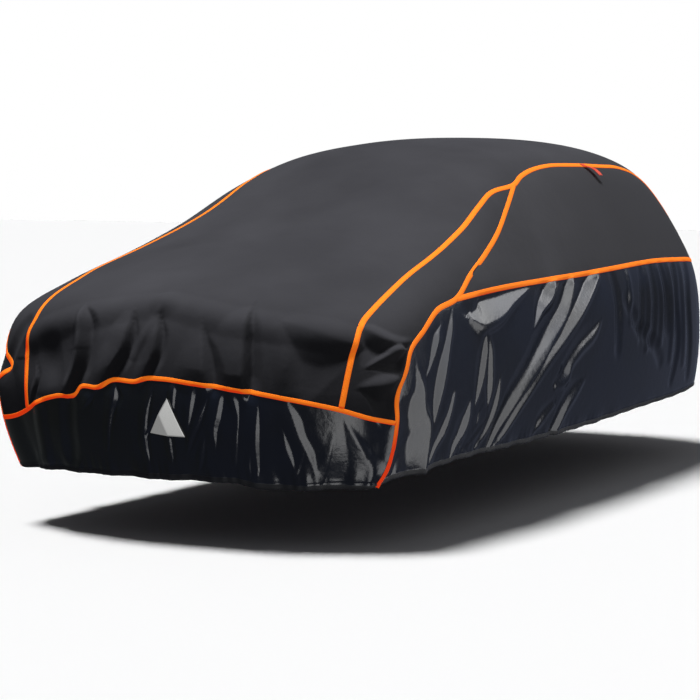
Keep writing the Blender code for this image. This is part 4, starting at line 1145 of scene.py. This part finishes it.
HEM_TOP = 0.050          # how far up the cloth the elastic hem reaches, from its turned edge
HEM_EDGE = 0.002         # how sharply its matte cloth ends there
HEM_WANDERS = 0.006      # and how unevenly
HEM_TINT = 0.004, 0.004, 0.005
HEM_ROUGHNESS = 0.72
FILM_ROUGHNESS = 0.17, 0.23     # of the coated cloth
CRINKLE_SHARE = 0.6      # how much of its changes follows the crinkles; the rest is finer


def skirt_cloth_finish(tint, tint_blue):
    """Coated cloth: smooth and glossy, faintly blue in places, with a crinkled film."""
    finish = Finish("skirt_cloth")
    cloud = finish.noise(finish.place, scale=3.0)
    crinkle = finish.noise(finish.place, scale=34.0, detail=3.0, roughness=0.6)
    fine = finish.noise(finish.place, scale=300.0)
    blue = finish.ramp(cloud, low=0.40, high=0.60)
    up = finish.part(finish.spread(), 1) + (crinkle - 0.5) * HEM_WANDERS
    film = finish.ramp(up, HEM_TOP - HEM_EDGE, HEM_TOP + HEM_EDGE)
    base = finish.mix(film, colour(HEM_TINT), finish.mix(blue, colour(tint), colour(tint_blue)))
    rough = finish.ramp(crinkle * CRINKLE_SHARE + fine * (1 - CRINKLE_SHARE), 0.35, 0.65,
                        *FILM_ROUGHNESS)
    rough = finish.ramp(film, 0.0, 1.0, HEM_ROUGHNESS, rough)
    normal = finish.bump(fine, depth=0.00003, under=finish.bump(crinkle, depth=0.0010))
    return finish.finish(Base_Color=base, Roughness=rough, Normal=normal)


# direction that a tape has to face to get the painted light
TAPE_PAINTED_LIGHT_FROM = 0.50, -0.38, 0.78
TAPE_PAINTED_SHADE_BELOW = -1.13   # height in the frame under which painted shade reddens the tapes
TAPE_PAINTED_SHADE_OVER = 0.35     # and the length over which it does
TAPE_PAINTED_SHADE_DEPTH = -0.9          # how much less painted light they get there
TAPE_PAINTED_LIGHT_WANDERS = 0.3       # unevenness of the painted light and glow
TAPE_PAINTED_LIT = 0.42          # how far a tape has to face the painted light's direction to count as fully lit
# shares of the tape's colour and glow where painted shade falls
TAPE_PAINTED_SHADE_TINT = 0.95, 0.25, 0.5


def seam_tape_finish(tint, glow, glow_strength):
    """Fluorescent woven tape with fine ribs across it: painted light where it faces one direction,
    redder painted shade elsewhere and low down, and a painted glow.
    """
    finish = Finish("seam_tape")
    ribs = finish.wave(finish.spread(), scale=130.0, direction="Y")
    cloud = finish.noise(finish.place, scale=9.0)
    low = finish.ramp(finish.part(finish.place, 2), TAPE_PAINTED_SHADE_BELOW - TAPE_PAINTED_SHADE_OVER, TAPE_PAINTED_SHADE_BELOW,
                      start=TAPE_PAINTED_SHADE_DEPTH, end=0.0)
    facing = finish.facing(TAPE_PAINTED_LIGHT_FROM)
    # painted light: how far the tape counts as lit, from its facing and its height
    lit = finish.ramp(facing + low + (cloud - 0.5) * TAPE_PAINTED_LIGHT_WANDERS, 0.0, TAPE_PAINTED_LIT)
    base, painted_glow_colour = (
        finish.mix(lit, colour([c * deep for c, deep in zip(values, TAPE_PAINTED_SHADE_TINT)]), colour(values))
        for values in (tint, glow))
    return finish.finish(Base_Color=base, Roughness=0.85, Specular_IOR_Level=0.10,
                         Normal=finish.bump(ribs, depth=0.0003),
                         Emission_Color=painted_glow_colour, Emission_Strength=glow_strength)


PAINTED_LIGHT_TOWARDS = 0.50, -0.86, 0.0   # direction in which the patch's painted light is brightest
PAINTED_LIGHT_FACING = 0.84, 0.94      # how far it has to face that way for the least and the most painted light
# share of that painted light where the patch faces away
PAINTED_LIGHT_LEAST = 0.45


def reflector_finish(tint, glow, glow_strength):
    """Silver-grey reflective cloth with a fine honeycomb, and a painted glow that brightens it where it
    faces one fixed direction.
    """
    finish = Finish("reflector")
    cells = finish.node("ShaderNodeTexVoronoi", {"Vector": finish.place, "Scale": 320.0})
    walls = finish.ramp(cells, low=0.2, high=0.7)
    base = finish.mix(walls, colour(tint), colour(tint, 0.8))
    # painted light: the patch glows more where it faces one fixed direction
    facing = finish.facing(PAINTED_LIGHT_TOWARDS) - cells * 0.02
    share = finish.ramp(facing, *PAINTED_LIGHT_FACING, start=PAINTED_LIGHT_LEAST)
    return finish.finish(Base_Color=base, Roughness=0.38, Metallic=0.20,
                         Normal=finish.bump(cells, depth=0.0002),
                         Emission_Color=finish.mix(share, colour(glow, 0.0), colour(glow)),
                         Emission_Strength=glow_strength)


def webbing_finish(tint):
    """Ribbed webbing, with a painted glow that keeps it bright."""
    finish = Finish("webbing")
    ribs = finish.wave(finish.place, scale=220.0, direction="Y", distortion=0.4)
    base = finish.mix(ribs, colour(tint, 0.75), colour(tint))
    # painted light: a glow of the webbing's own colour
    return finish.finish(Base_Color=base, Roughness=0.6, Normal=finish.bump(ribs, depth=0.0004),
                         Emission_Color=colour(tint), Emission_Strength=0.25)


def thread_finish(name, tint, glow_strength):
    """Twisted sewing thread, with a painted glow of the given strength."""
    finish = Finish(name)
    twist = finish.noise(finish.place, scale=900.0, detail=1.0)
    base = finish.mix(twist, colour(tint, 0.7), colour(tint))
    return finish.finish(Base_Color=base, Roughness=0.9, Specular_IOR_Level=0.05,
                         Emission_Color=colour(tint), Emission_Strength=glow_strength)


def floor_finish(tint):
    """A plain pale floor."""
    return Finish("floor").finish(Base_Color=colour(tint), Roughness=0.9, Specular_IOR_Level=0.1)


# ---- settings and operators -----------------------------------------------------------------

def tint_property(name, description, default):
    """A setting that holds a colour."""
    return FloatVectorProperty(name=name, description=description, subtype="COLOR",
                               default=default, min=0.0, max=1.0)


def strength_property(name, description, default):
    """A setting that holds how strongly something glows."""
    return FloatProperty(name=name, description=description, default=default, min=0.0, max=3.0)


class ClothSettings(bpy.types.PropertyGroup):
    """Colours of the cloths"""
    top_colour: tint_property("Top cloth", "Colour of the matte cloth", (0.056, 0.056, 0.063))
    # the window panels' colour is a lighter copy of the top cloth's: painted light on the side panels
    window_painted_light_colour: tint_property(
        "Window panels", "Colour of the side panels of the top", (0.072, 0.072, 0.080))
    skirt_colour: tint_property("Skirt", "Colour of the coated cloth", (0.012, 0.014, 0.017))
    skirt_blue: tint_property("Skirt, bluer", "Colour of its bluer places", (0.013, 0.018, 0.032))


class TrimSettings(bpy.types.PropertyGroup):
    """Colours and glow of the tapes, the reflective patch and the pull tab"""
    tape_colour: tint_property("Tape", "Colour of the seam tape", (1.0, 0.24, 0.02))
    # the tape's glow is painted light: an emission that keeps it bright in shade
    tape_painted_glow: tint_property(
        "Tape glow", "Colour that the fluorescent tape adds", (1.0, 0.20, 0.012))
    tape_painted_glow_strength: strength_property(
        "Glow strength", "How strongly the tape fluoresces", 0.57)
    reflector_colour: tint_property("Reflector", "Colour of the reflective patch", (0.50, 0.50, 0.51))
    # what the patch throws back is painted light: an emission brighter where it faces one fixed
    # direction
    reflector_painted_light: tint_property(
        "Thrown back", "Colour of the light that the patch throws back", (0.97, 0.97, 0.93))
    reflector_painted_light_strength: strength_property(
        "Thrown back strength", "How strongly the patch throws light back", 0.42)
    webbing_colour: tint_property("Webbing", "Colour of the pull tab", (0.85, 0.06, 0.02))


class StitchSettings(bpy.types.PropertyGroup):
    """Size and thread of the stitches"""
    pitch: FloatProperty(
        name="Pitch", description="Distance from stitch to stitch", unit="LENGTH",
        default=0.010, min=0.004, max=0.1)
    length: FloatProperty(
        name="Length", description="Length of a stitch", unit="LENGTH",
        default=0.0066, min=0.001, max=0.1)
    thickness: FloatProperty(
        name="Thickness", description="Thickness of the thread", unit="LENGTH",
        default=0.0013, min=0.0002, max=0.01)
    seed: IntProperty(
        name="Seed", description="Picks how the stitches vary", default=3, min=0, max=1000)
    tape_thread: tint_property(
        "Tape thread", "Colour of the thread in the tapes", (0.85, 0.16, 0.015))
    hem_thread: tint_property(
        "Hem thread", "Colour of the thread in the hems", (0.012, 0.012, 0.014))


class StageSettings(bpy.types.PropertyGroup):
    """The floor and the camera"""
    floor_colour: tint_property("Floor", "Colour of the floor", (0.95, 0.95, 0.95))
    lens: FloatProperty(
        name="Lens", description="Focal length of the camera, in millimetres",
        subtype="DISTANCE_CAMERA", default=109.02, min=10.0, max=300.0)


def nest(item, node):
    """Say which body an item rides on and which node it shows."""
    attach(item, "root")
    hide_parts(node)


# Lines of the cloth's grids: a number of even ones, or places with the cells wanted there.
CENTRE_LINES = 197
CENTRE_LENGTH = 5.70
CENTRE_SPANS = (0.0, 0.0070), (0.42, 0.0085), (0.72, 0.033)
FENDER_LINES = 37
FENDER_LENGTH = 1.9
FENDER_SPANS = (0.0, 0.0065), (0.45, 0.0065), (0.70, 0.018)
FENDER_TIP = 0.012       # how far its tip is cut short of the pillar
WINDOW_LINES = 171, 47
SIDE_LENGTH = 3.75
SIDE_SPANS = {"left": ((0.0, 0.0055), (1.9, 0.0065), (2.4, 0.014)),
              "right": ((0.0, 0.013), (3.0, 0.018))}
SIDE_LINES = {"left": 80, "right": 60}
FRONT_LENGTH = 2.10
FRONT_SPANS = (0.0, 0.009), (0.40, 0.008), (0.50, 0.0038), (1.60, 0.0038), (1.75, 0.006)
FRONT_LINES = 60
REAR_LINES = 141, 56
HEM_LINES = 6            # lines over the hem
HEM_SHARE = 0.04         # the hem's share of a skirt's height
FRONT_HEM_SHARE = 0.08

REAR_PAINTED_SHADE_SHARE = 0.76        # share of the window panels' colour at their rear ends, where painted shade darkens them


class COVER_OT_top_cloth(bpy.types.Operator):
    """Lay the matte panels of the top over their folds"""
    bl_idname = "cover.top_cloth"
    bl_label = "Top cloth"

    def execute(self, context):
        settings = context.scene.cover_cloth
        material = top_cloth_finish("top_cloth", settings.top_colour)
        # a copy of the top cloth with painted light, lighter overall, and painted shade towards the rear
        painted_window_material = top_cloth_finish("window_cloth_painted_light_and_shade", settings.window_painted_light_colour, REAR_PAINTED_SHADE_SHARE)
        flow = graded(CENTRE_LENGTH, CENTRE_SPANS)
        width = np.linspace(0, 1, CENTRE_LINES)
        left, right = seams["left"], seams["right"]
        front, rear = seams["front"], seams["rear"]
        piece = cloth_piece(
            "centre_panel_cloth", "top", material,
            (front.part("right roof", "left roof", width), rear.part("right", "left", width),
             right["roof"].part("nose", "tail", flow), left["roof"].part("nose", "tail", flow)),
            width, flow)
        nest(piece, "centre_panel")
        for side in ("left", "right"):
            self.side_panels(side, material, painted_window_material)
        return {"FINISHED"}

    def side_panels(self, side, material, painted_window_material):
        """The fender panel and the window panel of one side."""
        roof, corner, belt = (seams[side][key] for key in ("roof", "corner", "belt"))
        front = seams["front"]
        up = graded(FENDER_LENGTH, FENDER_SPANS) * (1 - FENDER_TIP / FENDER_LENGTH)
        across = np.linspace(0, 1, FENDER_LINES)
        outer, inner = (seam.part("nose", "pillar", up[-1:]) for seam in (corner, roof))
        top = outer * (1 - across[:, None]) + inner * across[:, None]
        foot = front.part(f"{side} corner", f"{side} roof", across)
        fender = cloth_piece(
            f"fender_panel_{side}_cloth", "top", material,
            (foot, top, corner.part("nose", "pillar", up), roof.part("nose", "pillar", up)), across, up)
        nest(fender, f"fender_panel_{side}")
        along, up = (np.linspace(0, 1, lines) for lines in WINDOW_LINES)
        window = cloth_piece(
            f"window_panel_{side}_cloth", "top", painted_window_material,
            (belt.part("belt", "tail", along), roof.part("pillar", "corner", along),
             corner.part("belt", "pillar", up), roof.part("tail", "corner", up)), along, up)
        nest(window, f"window_panel_{side}")


def skirt_rows(hem_share, lines):
    """Shares of a skirt's height for the lines of its grid, closer over the hem."""
    hem = np.linspace(0, hem_share, HEM_LINES)[:-1]
    return np.concatenate([hem, np.linspace(hem_share, 1, lines)])


class COVER_OT_skirts(bpy.types.Operator):
    """Hang the coated skirts with their creases and hems"""
    bl_idname = "cover.skirts"
    bl_label = "Skirts"

    def execute(self, context):
        settings = context.scene.cover_cloth
        material = skirt_cloth_finish(settings.skirt_colour, settings.skirt_blue)
        for side in ("left", "right"):
            sewn = seams[side]
            along = graded(SIDE_LENGTH, SIDE_SPANS[side])
            up = skirt_rows(HEM_SHARE, SIDE_LINES[side])
            piece = cloth_piece(
                f"side_skirt_{side}_cloth", "side", material,
                (sewn["hem"].part("front", "rear", along), sewn["belt"].part("belt", "tail", along),
                 sewn["corner"].part("hem", "belt", up), sewn["rear corner"].part("hem", "belt", up)),
                along, up, hemmed=True)
            nest(piece, f"side_skirt_{side}")
        up = skirt_rows(FRONT_HEM_SHARE, FRONT_LINES)
        across = graded(FRONT_LENGTH, FRONT_SPANS)
        piece = cloth_piece(
            "front_skirt_cloth", "front", material,
            (seams["front hem"].part("right", "left", across),
             seams["front"].part("right corner", "left corner", across),
             seams["right"]["corner"].part("hem", "nose", up),
             seams["left"]["corner"].part("hem", "nose", up)), across, up, hemmed=True)
        nest(piece, "front_skirt")
        up = skirt_rows(HEM_SHARE, REAR_LINES[1])
        across = np.linspace(0, 1, REAR_LINES[0])
        piece = cloth_piece(
            "rear_skirt_cloth", "tail", material,
            (seams["rear hem"].part("left", "right", across),
             seams["rear"].part("left", "right", across),
             seams["left"]["rear corner"].part("hem", "belt", up),
             seams["right"]["rear corner"].part("hem", "belt", up)), across, up, hemmed=True)
        nest(piece, "rear_skirt")
        return {"FINISHED"}


CROSSED_LIFT = 0.0004    # how far a tape that crosses others lies higher
FRONT_TAPE_SHARE = 0.80  # width of the front tape, as a share of the others


def stations_on(seam, first, last, trim_first=0.0, trim_last=0.0):
    """Evenly spaced points on a seam between two joints, less the trimmed lengths."""
    start, end = seam.joints[first], seam.joints[last]
    toward = 1 if end > start else -1
    start, end = start + toward * trim_first, end - toward * trim_last
    return seam.at(np.linspace(start, end, int(abs(end - start) / TAPE_STEP) + 1))


def tape_runs():
    """For every tape: its stations, the cloth beside it, its lift and its width."""
    runs = {}
    for side in ("left", "right"):
        runs[f"roof_tape_{side}"] = (
            stations_on(seams[side]["roof"], "nose", "tail", TAPE_BUTT, TAPE_BUTT),
            ("top", "top"), 0.0, 1.0)
        zones = ("side", "front") if side == "left" else ("front", "side")
        runs[f"corner_tape_{side}"] = (
            stations_on(seams[side]["corner"], "hem", "pillar", 0.0, TAPE_BUTT), zones, 0.0, 1.0)
    runs["front_tape"] = (
        stations_on(seams["front"], "right corner", "left corner", TAPE_BUTT, TAPE_BUTT),
        ("front", "top"), CROSSED_LIFT, FRONT_TAPE_SHARE)
    left, right = seams["left"]["belt"], seams["right"]["belt"]
    around = (stations_on(left, "belt", "tail", trim_first=TAPE_BUTT),
              stations_on(seams["rear"], "left", "right")[1:],
              stations_on(right, "tail", "belt", trim_last=TAPE_BUTT)[1:])
    runs["belt_tape"] = np.concatenate(around), ("side", "top"), CROSSED_LIFT, 1.0
    return runs


class COVER_OT_seam_tapes(bpy.types.Operator):
    """Lay the fluorescent tapes along the seams"""
    bl_idname = "cover.seam_tapes"
    bl_label = "Seam tapes"

    def execute(self, context):
        settings = context.scene.cover_trim
        material = seam_tape_finish(settings.tape_colour, settings.tape_painted_glow,
                                    settings.tape_painted_glow_strength)
        for node, (run, zones, lift, width) in tape_runs().items():
            piece = tape_piece(f"{node}_cloth", material, run, zones, lift, width)
            piece.visible_diffuse = False
            nest(piece, node)
        return {"FINISHED"}


# the hems of the nose and the tail: zone, seam, and its first and last joints
HEMS = {"front_skirt": ("front", "front hem", "right", "left"),
        "rear_skirt": ("tail", "rear hem", "left", "right")}


class COVER_OT_stitches(bpy.types.Operator):
    """Sew the tapes along both edges and the hems above their turned edge"""
    bl_idname = "cover.stitches"
    bl_label = "Stitches"

    def execute(self, context):
        settings = context.scene.cover_stitches
        # the tape thread gets the tape's painted glow; the hem thread none
        glow = context.scene.cover_trim.tape_painted_glow_strength
        tree = stitch_tree()
        values = {"Pitch": settings.pitch, "Length": settings.length,
                  "Thickness": settings.thickness, "Seed": settings.seed}
        values["Thread"] = thread_finish("tape_thread", settings.tape_thread, glow)
        for node, (run, zones, lift, width) in tape_runs().items():
            rows = tape_points(run, zones, lift, width, STITCH_ROWS)
            piece = stitches_piece(f"{node}_stitches", (rows[:, 0], rows[:, 1]), tree, values)
            piece.visible_diffuse = False
            nest(piece, node)
        values["Thread"] = thread_finish("hem_thread", settings.hem_thread, 0.0)
        for node, (zone, seam, first, last) in HEMS.items():
            self.sew_hem(node, zone, stations_on(seams[seam], first, last), tree, values)
        for side in ("left", "right"):
            run = stations_on(seams[side]["hem"], "front", "rear")
            self.sew_hem(f"side_skirt_{side}", "side", run, tree, values)
        return {"FINISHED"}

    def sew_hem(self, node, zone, run, tree, values):
        """A row of stitches above the turned edge."""
        under = on_body(run + np.array([0.0, 0.0, HEM_STITCHES]))
        line = on_cloth(under, zone, -HEM_GROOVE)
        nest(stitches_piece(f"{node}_stitches", (line,), tree, values), node)


class COVER_OT_trim(bpy.types.Operator):
    """Sew on the reflective triangle and the pull tab"""
    bl_idname = "cover.trim"
    bl_label = "Reflector and pull tab"

    def execute(self, context):
        settings = context.scene.cover_trim
        material = reflector_finish(settings.reflector_colour, settings.reflector_painted_light,
                                    settings.reflector_painted_light_strength)
        nest(reflector_piece("reflector_cloth", material), "reflector_triangle")
        material = webbing_finish(settings.webbing_colour)
        nest(pull_tab_piece("pull_tab_webbing", material), "pull_tab")
        return {"FINISHED"}


FLOOR_HALF = 40.0
WHITE = 1.0, 1.0, 1.0, 1.0
ROOM_LIGHT = 0.07, 0.07, 0.074          # the dim light from all around
ROOM_REFLECTION = 0.120, 0.135, 0.190   # what the cloth reflects of the room
SIDE_REFLECTION = 0.085, 0.092, 0.090   # and of its right-hand side
ROOM_TURNS = -0.2, -0.8                 # from where to where, across, the one becomes the other
CAMERA_PLACE = 5.040, -9.738, -0.151
CAMERA_TURN = 85.08, 0.0, 30.25         # degrees
SENSOR = 36.0            # millimetres
CLIP_END = 200.0
SUN_ANGLE = 16           # degrees; softens the shadows
SHADOW_FROM = -0.25, -0.15, 0.955       # direction towards the sun that lights the floor
KEY_FROM = 0.04, -0.15, 0.988           # and the one that lights the cover
FLOOR_SUN = 3.2
COVER_SUN = 3.80
# Area lights that only show as reflections: place, target, size and radiance.
PANELS = {"side_gloss": ((5.1, 0.1, -0.40), (0.9, 0.1, -0.40), (3.6, 8.0), 2.1),
          "high_gloss": ((4.7, 1.2, 3.2), (0.95, -1.2, -0.75), (5.6, 4.4), 2.1),
          "rear_gloss": ((3.1, 3.4, 1.9), (0.95, -1.4, -0.75), (3.0, 1.8), 2.2),
          "front_gloss": ((6.4, -7.6, -4.2), (0.3, -2.7, -3.0), (3.4, 8.0), 2.8)}


class COVER_OT_stage(bpy.types.Operator):
    """Set up the floor, the lights and the camera"""
    bl_idname = "cover.stage"
    bl_label = "Stage"

    def execute(self, context):
        settings = context.scene.cover_stage
        scene = context.scene
        mesh = bpy.data.meshes.new("floor")
        corners = ((-1, -1), (1, -1), (1, 1), (-1, 1))
        mesh.from_pydata([(FLOOR_HALF * x, FLOOR_HALF * y, -HOLD_HEIGHT) for x, y in corners],
                         [], [(0, 1, 2, 3)])
        mesh.materials.append(floor_finish(settings.floor_colour))
        floor = added("floor", mesh)
        floor.visible_diffuse = False
        floor.visible_glossy = False
        floor.visible_shadow = False
        self.world(scene)
        self.camera(scene, settings.lens)
        self.sun("floor_sun", SHADOW_FROM, FLOOR_SUN, floor, "INCLUDE")
        self.sun("cover_sun", KEY_FROM, COVER_SUN, floor, "EXCLUDE")
        for name, panel in PANELS.items():
            self.panel(name, *panel)
        scene.view_settings.view_transform = "Standard"
        return {"FINISHED"}

    def world(self, scene):
        """White to the camera, and a dim bluish room to the cloth: its light and its reflection."""
        world = bpy.data.worlds.new("studio")
        scene.world = world
        world.use_nodes = True
        tree = world.node_tree
        ray = tree_node(tree, "ShaderNodeLightPath", {}).outputs
        toward = tree_node(tree, "ShaderNodeTexCoord", {}).outputs["Generated"]
        across = tree_node(tree, "ShaderNodeSeparateXYZ", {0: toward}).outputs["X"]
        sideways = tree_node(tree, "ShaderNodeMapRange", {
            "Value": across, "From Min": ROOM_TURNS[0], "From Max": ROOM_TURNS[1]}).outputs[0]
        room = mixed(tree, sideways, colour(ROOM_REFLECTION), colour(SIDE_REFLECTION))
        light = mixed(tree, ray["Is Glossy Ray"], colour(ROOM_LIGHT), room)
        seen = mixed(tree, ray["Is Camera Ray"], light, WHITE)
        tree.links.new(seen, tree.nodes["Background"].inputs["Color"])

    def camera(self, scene, lens):
        """The camera that the photograph was taken with, as worked out from it."""
        data = bpy.data.cameras.new("camera")
        data.lens = lens
        data.sensor_width = SENSOR
        data.clip_end = CLIP_END
        scene.camera = added("camera", data)
        scene.camera.location = CAMERA_PLACE
        scene.camera.rotation_euler = Euler([math.radians(turn) for turn in CAMERA_TURN])

    def sun(self, name, toward, energy, floor, state):
        """A soft sun that lights the floor alone, or everything but the floor."""
        data = bpy.data.lights.new(name, "SUN")
        data.energy = energy
        data.angle = math.radians(SUN_ANGLE)
        light = added(name, data)
        light.rotation_euler = Vector(toward).to_track_quat("Z", "Y").to_euler()
        light.visible_glossy = False
        lit = bpy.data.collections.new(name)
        lit.objects.link(floor)
        lit.collection_objects[0].light_linking.link_state = state
        light.light_linking.receiver_collection = lit

    def panel(self, name, place, target, size, radiance):
        """An area light that only shows as a reflection."""
        data = bpy.data.lights.new(name, "AREA")
        data.shape = "RECTANGLE"
        data.size, data.size_y = size
        data.energy = radiance * size[0] * size[1] * math.pi
        light = added(name, data)
        light.location = place
        toward = Vector(target) - Vector(place)
        light.rotation_euler = toward.to_track_quat("-Z", "Y").to_euler()
        light.visible_camera = False
        light.visible_diffuse = False


class COVER_PT_panel(bpy.types.Panel):
    """Sizes, colours and buttons of the fitted cover"""
    bl_idname = "COVER_PT_panel"
    bl_label = "Fitted Car Cover"
    bl_space_type = "VIEW_3D"
    bl_region_type = "UI"
    bl_category = "Car Cover"

    def draw(self, context):
        """One box for each group of settings, then the buttons."""
        layout = self.layout
        for name in SETTINGS:
            settings = getattr(context.scene, name)
            box = layout.box()
            for item in settings.__annotations__:
                box.prop(settings, item)
        for operator in OPERATORS:
            layout.operator(operator.bl_idname)


SETTINGS = {"cover_cloth": ClothSettings, "cover_trim": TrimSettings,
            "cover_stitches": StitchSettings, "cover_stage": StageSettings}
OPERATORS = (COVER_OT_stage, COVER_OT_top_cloth, COVER_OT_skirts, COVER_OT_seam_tapes,
             COVER_OT_stitches, COVER_OT_trim)


def register():
    """Add the classes, and the settings of every scene."""
    for item in (*SETTINGS.values(), *OPERATORS, COVER_PT_panel):
        bpy.utils.register_class(item)
    for name, item in SETTINGS.items():
        setattr(bpy.types.Scene, name, PointerProperty(type=item))


def unregister():
    """Take them away again."""
    for name in SETTINGS:
        delattr(bpy.types.Scene, name)
    for item in reversed((*SETTINGS.values(), *OPERATORS, COVER_PT_panel)):
        bpy.utils.unregister_class(item)


def main():
    """Build the cover and its stage."""
    register()
    bpy.ops.cover.stage()
    bpy.ops.cover.top_cloth()
    bpy.ops.cover.skirts()
    bpy.ops.cover.seam_tapes()
    bpy.ops.cover.stitches()
    bpy.ops.cover.trim()


if __name__ == "__main__":
    main()
